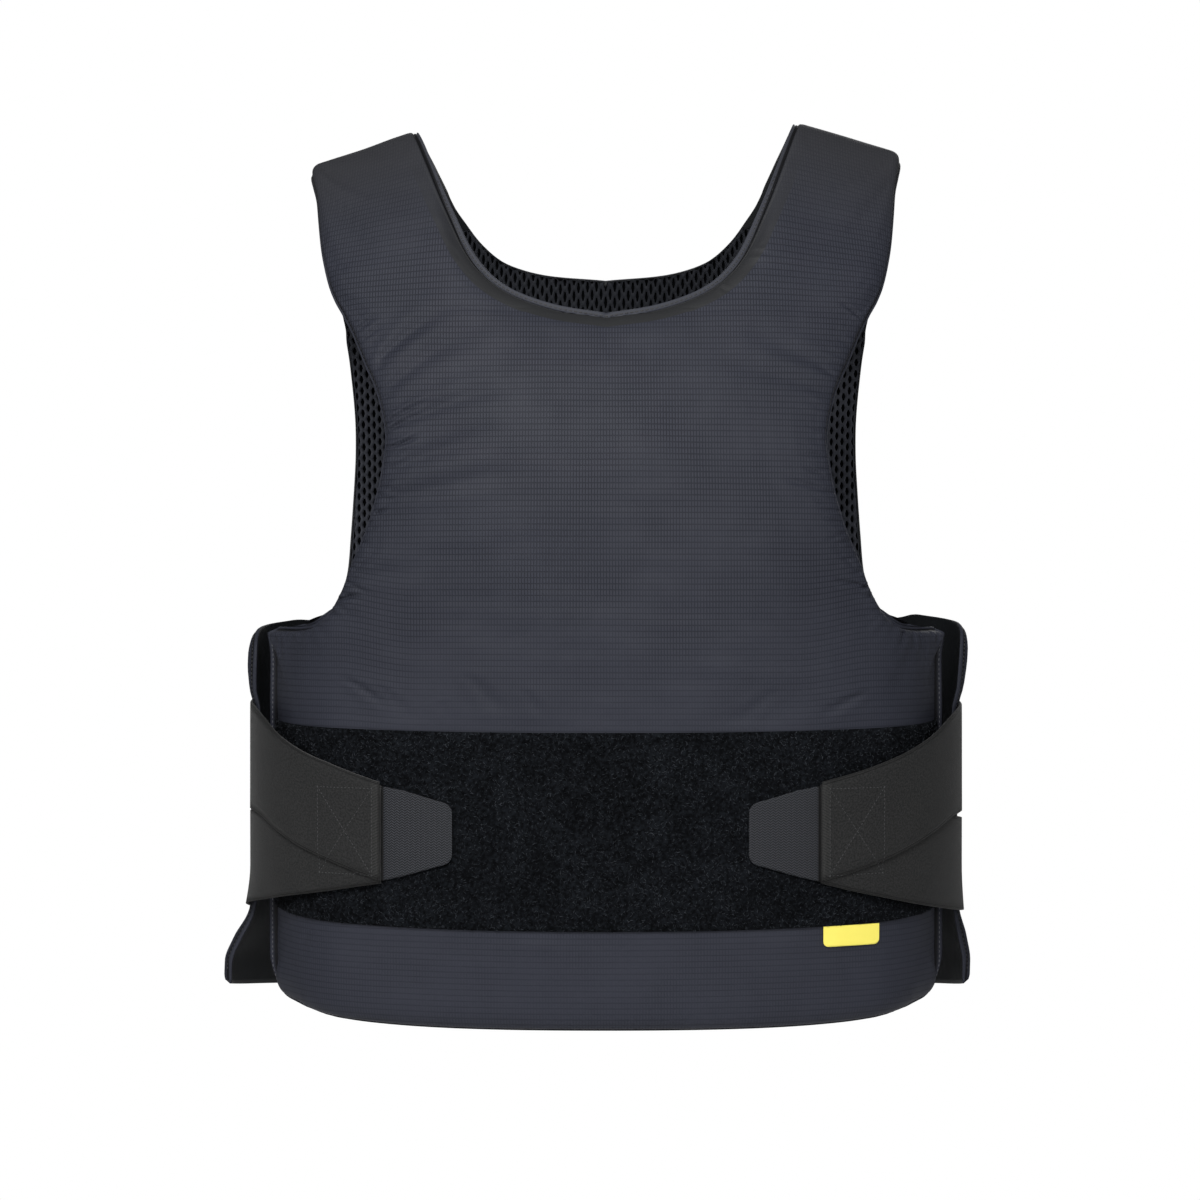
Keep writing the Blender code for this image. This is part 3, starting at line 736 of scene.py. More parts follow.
def rimFacts(points, rim):
    # distance to the rim, the rim's measures there, and the distance to the neck's rim
    rimPoints, values, isNeck = rim
    trees = []
    for chosen in (rimPoints, rimPoints[isNeck]):
        tree = KDTree(len(chosen))
        for i, point in enumerate(chosen):
            tree.insert(point, i)
        tree.balance()
        trees.append(tree)
    flat = points.reshape(-1, 3)
    distance, neck = np.zeros(len(flat)), np.zeros(len(flat))
    measures = np.zeros((len(flat), values.shape[1]))
    for k, point in enumerate(flat):
        _, i, far = trees[0].find(point)
        distance[k], measures[k] = far, values[i]
        neck[k] = trees[1].find(point)[2]
    shape = points.shape[:-1]
    return distance.reshape(shape), measures.reshape(*shape, -1), neck.reshape(shape)


def padProfile(distance, measures, full):
    # a thin rim, a groove at its seam, and padding that swells from there to its full thickness;
    # also how far the flange stands out, which lifts both faces
    width, crown, seam, stand, straight = np.moveaxis(measures, -1, 0)
    rim = np.clip(distance / edge["round"], 0, 1)
    flange = edge["flange"] * (0.45 + 0.55 * np.sqrt(1 - (1 - rim) ** 2))
    u = np.clip((distance - width) / crown, 0, 1)
    swell = np.sqrt(1 - (1 - u) ** 2)
    swell = swell + (u - swell) * straight / mm
    atSeam = ease(distance, 0.3 * width, width)
    groove = edge["grooveDepth"] * np.exp(-(((distance - width) / edge["grooveWidth"]) ** 2))
    base = flange + (seam - edge["flange"]) * atSeam
    lifted = stand * (1 - np.clip(distance / width, 0, 1))
    return base + np.maximum(full - seam, 0) * swell - groove, lifted


def gridFaces(ids):
    return np.stack((ids[:-1, :-1], ids[:-1, 1:], ids[1:, 1:], ids[1:, :-1]), axis=-1).reshape(-1, 4)


def ringOf(ids):
    # once round a grid's rim
    return np.concatenate((ids[0, :-1], ids[:-1, -1], ids[-1, :0:-1], ids[:0:-1, 0]))


def blurred(values, times):
    for _ in range(times):
        wide = np.pad(values, 1, mode="edge")
        values = (wide[:-2, 1:-1] + wide[2:, 1:-1] + wide[1:-1, :-2] + wide[1:-1, 2:] + 2 * values) / 6
    return values


def undulation(across, up, seed, amount, shortest, longest, count=14):
    # soft unevenness of padded cloth, from a few slow waves
    draw = np.random.default_rng(seed)
    total = np.zeros_like(across)
    for _ in range(count):
        angle, phase = draw.uniform(0, np.pi), draw.uniform(0, 2 * np.pi)
        length = draw.uniform(shortest, longest)
        k = 2 * np.pi / length
        total += np.sin(k * (across * np.cos(angle) + up * np.sin(angle)) + phase)
    return amount * total / math.sqrt(count)


wrinkleGain = 2.1


def creaseField(x, z, creases):
    # each crease: x, z of its start and end, bow, half width, depth; a valley with soft ridges
    total = np.zeros_like(x)
    for x0, z0, x1, z1, bow, width, depth in creases:
        start, end = np.array((x0, z0)), np.array((x1, z1))
        along = end - start
        length = np.linalg.norm(along)
        side = np.array((-along[1], along[0])) / length
        rel = np.stack((x, z), axis=-1) - start
        t = rel @ along / length**2
        away = rel @ side - bow * 4 * t * (1 - t)
        near = (t > -0.15) & (t < 1.05) & (np.abs(away) < 5 * width)
        t, away = t[near], away[near]
        half = width * (0.55 + 0.75 * np.clip(t, 0, 1))
        fade = ease(t, -0.08, 0.06) * (1 - ease(t, 0.35, 1.0))
        valley = -np.exp(-((away / half) ** 2))
        ridge = 0.55 * np.exp(-(((np.abs(away) - 1.9 * half) / (1.2 * half)) ** 2))
        total[near] += wrinkleGain * depth * fade * (valley + ridge)
    return total


photo = {"pixel": 0.65 * mm, "centreX": 606.5, "centreY": 600, "height": -0.316, "front": -0.142,
         "distance": 1.75}


def photoSpot(px, py):
    # where a pixel of the photo lies on the plane of the vest's front
    return (px - photo["centreX"]) * photo["pixel"], (photo["centreY"] - py) * photo["pixel"]


def seenAt(points):
    # where the camera sees a point on that plane
    far = 1 + (points[..., 1] - photo["front"]) / photo["distance"]
    return points[..., 0] / far, (points[..., 2] - photo["height"]) / far


# creases seen on the front, by where they start and end in the photo's frame (pixels)
seenCreases = (
    # start, end, bow mm, half width mm, depth mm
    (383, 426, 440, 400, 1.5, 1.6, 0.75), (386, 434, 408, 423, 0.8, 1.2, 0.95),
    (386, 448, 424, 435, -1.6, 1.4, 1.15), (386, 465, 412, 452, 0.5, 1.3, 0.40),
    (383, 484, 402, 479, 0.4, 1.2, 0.30), (380, 498, 402, 490, 0.4, 1.2, 0.30),
    (374, 516, 392, 509, 0.5, 1.2, 0.85), (367, 532, 386, 527, 0.4, 1.1, 0.35),
    (360, 545, 382, 541, 0.4, 1.2, 0.30), (349, 573, 384, 566, 0.6, 1.6, 0.35),
    (343, 592, 374, 586, 0.8, 1.6, 0.40), (336, 612, 366, 600, -1.0, 1.7, 0.80),
    (380, 362, 470, 300, 3.0, 5.0, 0.60), (388, 392, 500, 320, 4.0, 6.0, 0.45),
    (392, 428, 545, 380, 3.0, 5.5, 0.55), (392, 470, 560, 420, 3.0, 6.5, 0.50),
    (390, 500, 560, 468, 2.0, 6.0, 0.40), (356, 585, 470, 560, 2.0, 6.0, 0.35),
    (716, 283, 728, 296, 0.3, 1.2, 0.50), (749, 254, 778, 258, 0.5, 1.4, 0.40),
    (853, 372, 735, 330, 3.0, 5.5, 0.45), (838, 398, 700, 362, -3.0, 6.0, 0.40),
    (824, 432, 802, 424, 0.4, 1.1, 0.30), (822, 452, 800, 446, 0.4, 1.1, 0.25),
    (823, 475, 798, 466, 0.5, 1.2, 0.45), (825, 490, 770, 474, 1.0, 2.2, 0.40),
    (829, 505, 806, 498, 0.5, 1.2, 0.35), (838, 522, 814, 516, 0.5, 1.2, 0.40),
    (845, 536, 822, 531, 0.4, 1.1, 0.30), (858, 560, 836, 553, 0.4, 1.2, 0.25),
    (866, 598, 826, 584, -0.8, 1.7, 0.60), (880, 607, 846, 603, 0.6, 1.4, 0.30),
    (896, 618, 850, 622, 0.8, 2.0, 0.30),
    (352, 688, 400, 716, 1.0, 2.6, 0.60), (381, 690, 416, 722, 1.0, 2.8, 0.45),
    (470, 676, 508, 724, 1.5, 3.5, 0.40), (525, 690, 545, 726, 1.0, 3.0, 0.30),
    (440, 700, 452, 727, 1.0, 2.5, 0.35), (860, 700, 812, 722, -1.0, 3.0, 0.45),
    (770, 692, 730, 724, 1.0, 3.4, 0.30), (905, 660, 885, 715, 2.0, 5.0, 0.30),
    (312, 928, 306, 956, 0.5, 2.4, 0.30), (372, 930, 360, 968, 0.8, 2.6, 0.35),
    (455, 932, 447, 962, 0.5, 2.4, 0.25), (560, 933, 556, 958, 0.5, 2.6, 0.25),
    (842, 950, 850, 990, 0.8, 3.0, 0.30), (700, 933, 704, 962, 0.5, 2.6, 0.25),
)


def frontCreases():
    found = []
    for x0, y0, x1, y1, bow, width, depth in seenCreases:
        found.append((*photoSpot(x0, y0), *photoSpot(x1, y1), bow * mm, width * mm, depth * mm))
    return found


def edgePuckers(turn, path, seed, spacing, length, depth, reach):
    # short gathers that run in from the outer rim, between two paths
    draw = np.random.default_rng(seed)
    rim = formPoint(turn[:, -1], path[:, -1])
    found, far = [], 0.0
    for a, b, height in zip(rim[:-1], rim[1:], path[:-1, -1]):
        far += np.linalg.norm(b - a)
        if far < spacing or not reach[0] < height < reach[1]:
            continue
        far = draw.uniform(-0.4, 0.4) * spacing
        run, rise = b[0] - a[0], b[2] - a[2]
        inward = np.array((-rise, 0, run)) / max(math.hypot(run, rise), 1e-6)
        long = length * draw.uniform(0.5, 1.4)
        end = a + inward * long + np.array((0, 0, draw.uniform(-0.2, 0.25) * long))
        found.append((a[0], a[2], end[0], end[2], draw.uniform(-0.5, 0.5) * mm,
                      draw.uniform(1.3, 2.1) * mm, depth * draw.uniform(0.3, 1.0)))
    return found


def weldHalves(halves, centre):
    # one mesh from two half shells: outer grids, coarser inner grids, and rims that join them
    points, uvs, facts, faces, inward = [], [], [], [], []
    base = 0
    for half in halves:
        outer, inner = half["outer"], half["inner"]
        rows, columns = outer.shape[:2]
        coarseRows, coarseColumns = inner.shape[:2]
        outerIds = base + np.arange(rows * columns).reshape(rows, columns)
        innerIds = base + rows * columns + np.arange(coarseRows * coarseColumns).reshape(
            coarseRows, coarseColumns
        )
        base += rows * columns + coarseRows * coarseColumns
        points += [outer.reshape(-1, 3), inner.reshape(-1, 3)]
        uvs += [half["uv"].reshape(-1, 2), half["uv"][::2, ::2].reshape(-1, 2)]
        facts += [half["facts"].reshape(-1, 2), half["facts"][::2, ::2].reshape(-1, 2)]
        made = []
        for ids, turned in ((outerIds, False), (innerIds, True)):
            quads = gridFaces(ids)
            made += (quads[:, ::-1] if turned else quads).tolist()
        first = centre // 2
        rims = (
            (outerIds[0], innerIds[0], False),
            (outerIds[-1], innerIds[-1], True),
            (outerIds[:, -1], innerIds[:, -1], False),
            (outerIds[centre:, 0], innerIds[first:, 0], True),
        )
        for fine, coarse, turned in rims:
            for k in range(len(coarse) - 1):
                loop = [coarse[k], coarse[k + 1], fine[2 * k + 2], fine[2 * k + 1], fine[2 * k]]
                made.append([int(i) for i in (loop[::-1] if turned else loop)])
        faces += [face[::-1] for face in made] if half["flip"] else made
        under = (coarseRows - 1) * (coarseColumns - 1)
        over = (rows - 1) * (columns - 1)
        inward += [0] * over + [1] * under + [0] * (len(made) - over - under)
    return np.concatenate(points), np.concatenate(uvs), np.concatenate(facts), faces, inward


def meshObject(name, points, faces, material, uv=None, facts=None, weld=1e-6, marks=None):
    mesh = bpy.data.meshes.new(name)
    mesh.from_pydata(points.tolist(), [], faces)
    if uv is not None:
        layer = mesh.uv_layers.new(name="cloth")
        loops = np.zeros(len(mesh.loops), np.int32)
        mesh.loops.foreach_get("vertex_index", loops)
        layer.data.foreach_set("uv", np.asarray(uv, np.float32)[loops].ravel())
    for key, values in (facts or {}).items():
        attribute = mesh.attributes.new(key, "FLOAT", "POINT")
        attribute.data.foreach_set("value", np.asarray(values, np.float32).ravel())
    for key, values in (marks or {}).items():
        attribute = mesh.attributes.new(key, "INT", "FACE")
        attribute.data.foreach_set("value", np.asarray(values, np.int32))
    bm = bmesh.new()
    bm.from_mesh(mesh)
    bmesh.ops.remove_doubles(bm, verts=bm.verts, dist=weld)
    bm.to_mesh(mesh)
    bm.free()
    mesh.materials.append(material)
    mesh.shade_smooth()
    made = bpy.data.objects.new(name, mesh)
    scene.collection.objects.link(made)
    return made


def panelPiece(name, panel, lattice, offset, padding, material, wrinkle):
    turn, path, centre = lattice
    behind = panel is back
    rim = rimSamples(panel, lattice)
    distance, measures, neck = rimFacts(formPoint(turn, path), rim)
    width = measures[..., 0]
    panel["distance"] = distance
    profile, lifted = padProfile(distance, measures, padding(turn, path))
    profile = profile + (blurred(profile, 12) - profile) * ease(distance, 6 * mm, 14 * mm)
    halves = []
    for side, sign in sides.items():
        away = offset(turn, path, side) + lifted
        inside = ease(distance, width - 0.6 * mm, width + 1.2 * mm)
        folds = wrinkle(turn, path, sign) * inside
        risen = raisedPath(turn, path, panel, side)
        outer = overForm(sign * turn, risen, away + profile + folds)
        coarse = (slice(None, None, 2), slice(None, None, 2))
        inner = overForm(sign * turn[coarse], risen[coarse], away[coarse])
        uv = np.stack((girth(sign * turn, path), path), axis=-1)
        if behind:
            uv[..., 0] = sign * girth(np.full_like(turn, np.pi), path) - uv[..., 0]
        seamHalf = 0.55 * mm + 0.15 * measures[..., 3]
        facts = np.stack((neck, np.clip((distance - width) / seamHalf, -8, 8)), axis=-1)
        halves.append({"outer": outer, "inner": inner, "uv": uv, "facts": facts,
                       "flip": (sign < 0) != behind})
    points, uv, facts, faces, inward = weldHalves(halves, centre)
    named = {"neckDistance": facts[:, 0], "pastSeam": facts[:, 1]}
    piece = meshObject(name, points, faces, material, uv, named, marks={"inward": inward})
    piece.data.materials.append(innerCloth)
    onInside = np.zeros(len(piece.data.polygons), np.int32)
    piece.data.attributes["inward"].data.foreach_get("value", onInside)
    piece.data.polygons.foreach_set("material_index", onInside)
    piece.data.attributes.remove(piece.data.attributes["inward"])
    return piece


def finishPiece(piece, node):
    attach(piece, "root")
    if node:
        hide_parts(*([node] if isinstance(node, str) else node))
    return piece


floor = makeStudio()
floor.data.materials.append(makeFloorPaint())
print("studio: camera, four soft lights, white room, pale floor")

ripstop = makeRipstop("ripstop_nylon")
# the back panel's copy of the same cloth, painted 20% darker as shade
backRipstop = makeRipstop("ripstop_nylon_back", 0.8)
innerCloth = makeInnerCloth()

frontLattice = panelLattice(front, False)
backLattice = panelLattice(back, True)
creases = frontCreases()
gathers = {
    # seed, spacing, length, depth, and the paths between which they lie
    "armhole": (11, 9 * mm, 19 * mm, 0.62 * mm, (-0.33, -0.13)),
    "wingTop": (31, 6.5 * mm, 19 * mm, 0.75 * mm, (-0.3428, -0.326)),
}
puckers = {
    sign: [one for seed, *facts in gathers.values()
           for one in edgePuckers(frontLattice[0], frontLattice[1], seed + sign, *facts)]
    for sign in sides.values()
}

settling = {
    "rowStep": 2,
    "columnStep": 4,
    "quality": 6,
    "mass": 0.12,
    "stiffness": 18,
    # by distance from the rim: where the cloth is let go, and where it is let gather
    "heldWithin": (1.5 * mm, 5 * mm),
    "gatherFrom": (2 * mm, 8 * mm),
    "gatherTo": (20 * mm, 90 * mm),
    # by path: the loop field that holds it, the armholes, and the wing tops with their share
    "loopPaths": (-0.540, -0.533, -0.402, -0.396),
    "armPaths": (-0.36, -0.33, -0.16, -0.10),
    "wingPaths": (-0.40, -0.385, -0.36, -0.33),
    "wingShare": 0.35,
    "pressure": 4.0,
    "frames": 20,
    "grow": -0.09,         # extra cloth, gathered towards the armholes and the wing tops
    "bending": 0.12,
    "limit": 2.0 * mm,
    "blur": 5,
    "gain": 1.0,
}


def settleCloth(lattice):
    # the cover's own cloth, held at its rim and under the loop field, blown out and let gather
    turn, path, centre = lattice
    rows, columns = slice(None, None, settling["rowStep"]), slice(None, None, settling["columnStep"])
    flat = {sign: np.zeros(turn.shape) for sign in sides.values()}
    turns, paths = turn[rows, columns], path[rows, columns]
    distance, measures, _ = rimFacts(formPoint(turns, paths), rimSamples(front, lattice))
    profile, lifted = padProfile(distance, measures, frontPadding(turns, paths))
    away = frontOffset(turns, paths, None) + profile + lifted
    grids = {sign: overForm(sign * turns, paths, away) for sign in sides.values()}
    normals = {sign: formNormal(sign * turns, paths) for sign in sides.values()}
    count = turns.size
    ids = np.arange(count).reshape(turns.shape)
    quads = gridFaces(ids)
    points = np.concatenate([grids[sign].reshape(-1, 3) for sign in sides.values()])
    faces = quads[:, ::-1].tolist() + (quads + count).tolist()
    low = centre // settling["rowStep"]
    twin = {int(ids[r, 0]): int(ids[r, 0]) + count for r in range(low + 1)}
    back = {b: a for a, b in twin.items()}
    faces = [[back.get(i, i) for i in face] for face in faces]
    sheet = bpy.data.meshes.new("settling_cloth")
    sheet.from_pydata(points.tolist(), [], faces)
    cloth = bpy.data.objects.new("settling_cloth", sheet)
    scene.collection.objects.link(cloth)
    underLoop = between(paths, *settling["loopPaths"])
    held = np.maximum(1 - ease(distance, *settling["heldWithin"]), underLoop)
    nearArm = between(distance, *settling["gatherFrom"], *settling["gatherTo"])
    full = nearArm * between(paths, *settling["armPaths"])
    full = np.maximum(full, settling["wingShare"] * between(paths, *settling["wingPaths"]))
    for name, weights in (("held", held), ("full", full)):
        group = cloth.vertex_groups.new(name=name)
        for i, weight in enumerate(np.tile(weights.ravel(), 2)):
            group.add([i], float(weight), "REPLACE")
    modifier = cloth.modifiers.new("settle", "CLOTH")
    how = modifier.settings
    how.quality = settling["quality"]
    how.mass = settling["mass"]
    how.tension_stiffness = how.compression_stiffness = settling["stiffness"]
    how.bending_stiffness = settling["bending"]
    how.use_pressure = True
    how.uniform_pressure_force = settling["pressure"]
    how.effector_weights.gravity = 0
    how.vertex_group_mass = "held"
    how.vertex_group_shrink = "full"
    how.shrink_min, how.shrink_max = 0.0, settling["grow"]
    modifier.collision_settings.use_collision = False
    modifier.point_cache.frame_start, modifier.point_cache.frame_end = 1, settling["frames"]
    for step in range(1, settling["frames"] + 1):
        scene.frame_set(step)
    after = cloth.evaluated_get(bpy.context.evaluated_depsgraph_get()).data
    moved = np.zeros(len(after.vertices) * 3)
    after.vertices.foreach_get("co", moved)
    moved = moved.reshape(-1, 3)
    for b, a in back.items():
        moved[b] = moved[a]
    scene.frame_set(1)
    bpy.data.objects.remove(cloth)
    rowsAt, columnsAt = np.arange(turn.shape[0]), np.arange(turn.shape[1])
    for k, sign in enumerate(sides.values()):
        shift = moved[k * count : (k + 1) * count].reshape(*turns.shape, 3) - grids[sign]
        out = (shift * normals[sign]).sum(axis=-1)
        out = np.clip(out - blurred(out, settling["blur"] ** 2), -settling["limit"], settling["limit"])
        print("  cloth settled on one half: up to", round(float(np.abs(out).max()) * 1000, 2), "mm")
        tall = np.array([np.interp(rowsAt, rowsAt[rows], column) for column in out.T]).T
        flat[sign] = np.array([np.interp(columnsAt, columnsAt[columns], row) for row in tall])
    return flat


settled = settleCloth(frontLattice)


waves = {
    # seed, height, shortest and longest
    "frontSlow": (5, 0.34 * mm, 0.05, 0.16),
    "frontQuick": (8, 0.12 * mm, 0.018, 0.05),
    "back": (15, 0.35 * mm, 0.06, 0.17),
    # the smooth cloth under the loop field and under the bands, by path
    "underLoop": (-0.541, -0.534, -0.400, -0.393),
    "underBand": (-0.556, -0.546, -0.378, -0.366),
}


def frontWrinkle(turn, path, sign):
    place = formPoint(sign * turn, path)
    x, z = place[..., 0], place[..., 2]
    low = 1 - ease(path, rollPath(0.25), rollPath(0.5))
    skin = overForm(sign * turn, path, frontOffset(turn, path, None) + 8 * mm)
    folds = creaseField(*seenAt(skin), creases) * low
    folds += creaseField(sign * x, z, puckers[sign])
    away = ease(front["distance"], 3 * mm, 12 * mm)
    slow = undulation(x, z, *waves["frontSlow"]) * away
    quick = undulation(x * 0.6, z * 1.6, *waves["frontQuick"]) * away
    underLoop = between(path, *waves["underLoop"])
    return (folds + slow + quick + settling["gain"] * settled[sign]) * (1 - underLoop)


def backWrinkle(turn, path, sign):
    place = formPoint(sign * turn, path)
    around = girth(sign * turn, path)
    slow = undulation(around, place[..., 2], *waves["back"])
    underBand = between(path, *waves["underBand"])
    return slow * (1 - underBand) * (1 - onTab(path))


frontCover = panelPiece("front_cover", front, frontLattice, frontOffset, frontPadding, ripstop,
                        frontWrinkle)
finishPiece(frontCover, "front_panel")
backCover = panelPiece("back_cover", back, backLattice, backOffset, backPadding, backRipstop,
                       backWrinkle)
finishPiece(backCover, "back_panel")
print("panels:", len(frontCover.data.polygons), "and", len(backCover.data.polygons), "faces")


def stripShell(name, outer, thickness, normals, material, uv, facts=None, flip=False, roundTo=0.0):
    # a thin closed strip: its outer face, its inner face a thickness below, and a rounded edge
    rows, columns = outer.shape[:2]
    inner = outer - normals * thickness
    middle = outer - normals * thickness / 2
    outerIds = np.arange(rows * columns).reshape(rows, columns)
    innerIds = outerIds + rows * columns
    faces = []
    for ids, turned in ((outerIds, False), (innerIds, True)):
        quads = gridFaces(ids)
        faces += (quads[:, ::-1] if turned else quads).tolist()
    ring = ringOf(outerIds)
    middleIds = 2 * rows * columns + np.arange(len(ring))
    flatOuter, flatMiddle = outer.reshape(-1, 3), middle.reshape(-1, 3)
    centre = flatOuter[ring]
    following, before = np.roll(centre, -1, axis=0), np.roll(centre, 1, axis=0)
    out = np.cross(following - before, normals.reshape(-1, 3)[ring])
    out /= np.linalg.norm(out, axis=1, keepdims=True)
    rim = flatMiddle[ring] + out * roundTo
    for k in range(len(ring)):
        n = (k + 1) % len(ring)
        a, b = int(ring[k]), int(ring[n])
        m, o = int(middleIds[k]), int(middleIds[n])
        faces.append([b, a, m, o])
        faces.append([o, m, a + rows * columns, b + rows * columns])
    if flip:
        faces = [face[::-1] for face in faces]
    points = np.concatenate((flatOuter, inner.reshape(-1, 3), rim))
    flatUv = uv.reshape(-1, 2)
    allUv = np.concatenate((flatUv, flatUv, flatUv[ring]))
    named = {}
    for key, values in (facts or {}).items():
        flat = values.reshape(-1)
        named[key] = np.concatenate((flat, flat, flat[ring]))
    return meshObject(name, points, faces, material, allUv, named)


frontRim = rimSamples(front, frontLattice)


def frontSkin(turn, path, lift):
    # the front panel's outer face, without its folds
    distance, measures, _ = rimFacts(formPoint(np.abs(turn), path), frontRim)
    profile, lifted = padProfile(distance, measures, frontPadding(turn, path))
    return overForm(turn, path, frontOffset(turn, path, None) + profile + lifted + lift)


loop = {
    "area": 0.63 * 0.128,
    "bottom": -0.531,
    "top": -0.403,
    "gap": 0.0004,
    "thickness": 0.0014,
    "edgeShare": 0.96,
    "endRise": 0.0055,
    "rows": 44,
    "columns": 240,
    # the sewn cross under the pile, in the photo's frame (pixels)
    "quilting": (
        ((440, 800), (528, 818), (593, 831), (614, 834), (669, 847), (770, 866)),
        ((440, 866), (528, 849), (582, 834), (636, 824), (690, 813), (770, 797)),
    ),
    "grooveWidth": 1.4 * mm,
    "grooveDepth": 0.9 * mm,
    "tufts": 16000,
    "tuftSpan": 1.8 * mm,
    "tuftHeight": 0.9 * mm,
    "seed": 7,
}


def lineDistance(x, z, lines):
    best = np.full(np.shape(x), 1.0)
    for line in lines:
        spots = [photoSpot(*spot) for spot in line]
        for (x0, z0), (x1, z1) in zip(spots[:-1], spots[1:]):
            dx, dz = x1 - x0, z1 - z0
            t = np.clip(((x - x0) * dx + (z - z0) * dz) / (dx * dx + dz * dz), 0, 1)
            best = np.minimum(best, np.hypot(x - x0 - t * dx, z - z0 - t * dz))
    return best


def makeLoopField(material):
    edgeTurn = math.radians(front["sideTurn"]) * loop["edgeShare"]
    turn = np.linspace(-edgeTurn, edgeTurn, loop["columns"] + 1)
    path = np.linspace(loop["bottom"], loop["top"], loop["rows"] + 1)
    turn, path = np.meshgrid(turn, path)
    path = path + loop["endRise"] * (np.abs(turn) / edgeTurn) ** 2.4
    base = formPoint(turn, path)
    fromLine = lineDistance(*seenAt(overForm(turn, path, base[..., 0] * 0 + 12 * mm)), loop["quilting"])
    groove = np.exp(-((fromLine / loop["grooveWidth"]) ** 2))
    around = girth(turn, path)
    lift = loop["gap"] + loop["thickness"] - loop["grooveDepth"] * 0.6 * groove
    outer = frontSkin(turn, path, lift)
    normals = formNormal(turn, path)
    uv = np.stack((around, path), axis=-1)
    facts = {"pileShare": 1 - ease(groove, 0.35, 0.75)}
    piece = stripShell("loop_field_cloth", outer, loop["thickness"] * 0.6, normals, material, uv, facts,
                       roundTo=0.3 * mm)
    return piece


class Grower:
    # builds a Geometry Nodes tree with named inputs, and bakes it to a plain mesh
    def __init__(self, name, inputs):
        self.tree = bpy.data.node_groups.new(name, "GeometryNodeTree")
        face = self.tree.interface
        face.new_socket("Geometry", in_out="INPUT", socket_type="NodeSocketGeometry")
        self.keys = {}
        for key, (kind, value) in inputs.items():
            socket = face.new_socket(key, in_out="INPUT", socket_type=kind)
            if value is not None:
                socket.default_value = value
            self.keys[key] = socket.identifier
        face.new_socket("Geometry", in_out="OUTPUT", socket_type="NodeSocketGeometry")
        self.start = self.tree.nodes.new("NodeGroupInput")
        self.end = self.tree.nodes.new("NodeGroupOutput")

    def given(self, name):
        return self.start.outputs[name]

    def node(self, kind, settings=None, sockets=None, out=0):
        made = self.tree.nodes.new(kind)
        for key, value in (settings or {}).items():
            setattr(made, key, value)
        for key, value in (sockets or {}).items():
            if isinstance(value, bpy.types.NodeSocket):
                self.tree.links.new(value, made.inputs[key])
            else:
                made.inputs[key].default_value = value
        return made.outputs[out]

    def times(self, first, second):
        return self.node("ShaderNodeMath", {"operation": "MULTIPLY"}, {0: first, 1: second})

    def finish(self, geometry, material):
        real = self.node("GeometryNodeRealizeInstances", None, {"Geometry": geometry})
        painted = self.node("GeometryNodeSetMaterial", None, {"Geometry": real, "Material": material})
        self.tree.links.new(painted, self.end.inputs[0])

    def bake(self, name, mesh, values):
        carrier = bpy.data.objects.new(name + "_carrier", mesh)
        scene.collection.objects.link(carrier)
        modifier = carrier.modifiers.new("grown", "NODES")
        modifier.node_group = self.tree
        for key, value in values.items():
            modifier[self.keys[key]] = value
        bpy.context.view_layer.update()
        evaluated = carrier.evaluated_get(bpy.context.evaluated_depsgraph_get())
        grown = bpy.data.meshes.new_from_object(evaluated)
        bpy.data.objects.remove(carrier)
        grown.name = name
        piece = bpy.data.objects.new(name, grown)
        scene.collection.objects.link(piece)
        return piece


def stitchGrower(material):
    # a thread's short stitches along each line, pressed on the cloth below
    grower = Grower("stitches", {
        "Pitch": ("NodeSocketFloat", 3.4 * mm),
        "Length": ("NodeSocketFloat", 2.4 * mm),
        "Width": ("NodeSocketFloat", 0.55 * mm),
        "Height": ("NodeSocketFloat", 0.35 * mm),
    })
    line = grower.node("GeometryNodeMeshToCurve", None, {"Mesh": grower.given("Geometry")})
    spaced = grower.node("GeometryNodeResampleCurve", {"mode": "LENGTH"},
                         {"Curve": line, "Length": grower.given("Pitch")})
    dots = grower.node("GeometryNodeCurveToPoints", {"mode": "EVALUATED"}, {"Curve": spaced})
    tangent = dots.node.outputs["Tangent"]
    up = grower.node("GeometryNodeInputNamedAttribute", {"data_type": "FLOAT_VECTOR"},
                     {"Name": "up"}, "Attribute")
    turn = grower.node("FunctionNodeAxesToRotation", {"primary_axis": "X", "secondary_axis": "Z"},
                       {0: tangent, 1: up})
    ball = grower.node("GeometryNodeMeshUVSphere", None, {"Segments": 6, "Rings": 4, "Radius": 0.5})
    size = grower.node("ShaderNodeCombineXYZ", None, {
        "X": grower.given("Length"), "Y": grower.given("Width"), "Z": grower.given("Height")})
    placed = grower.node("GeometryNodeInstanceOnPoints", None,
                         {"Points": dots, "Instance": ball, "Rotation": turn, "Scale": size})
    grower.finish(placed, material)
    return grower


def lineMesh(name, lines, skins):
    # polylines laid on the nearest surface, each point with the way up out of the cloth
    points, ups, edges = [], [], []
    for line in lines:
        start = len(points)
        for spot in line:
            best = None
            for skin in skins:
                place, normal, _, far = skin.find_nearest(Vector(spot))
                if place is not None and (best is None or far < best[2]):
                    best = (place, normal, far)
            points.append(best[0])
            ups.append(best[1])
        edges += [(start + k, start + k + 1) for k in range(len(line) - 1)]
    mesh = bpy.data.meshes.new(name)
    mesh.from_pydata(points, edges, [])
    attribute = mesh.attributes.new("up", "FLOAT_VECTOR", "POINT")
    attribute.data.foreach_set("vector", np.array(ups, np.float32).ravel())
    return mesh


def skinOf(piece):
    mesh = piece.data
    points = np.zeros(len(mesh.vertices) * 3)
    mesh.vertices.foreach_get("co", points)
    return BVHTree.FromPolygons([tuple(p) for p in points.reshape(-1, 3)],
                                [tuple(face.vertices) for face in mesh.polygons])


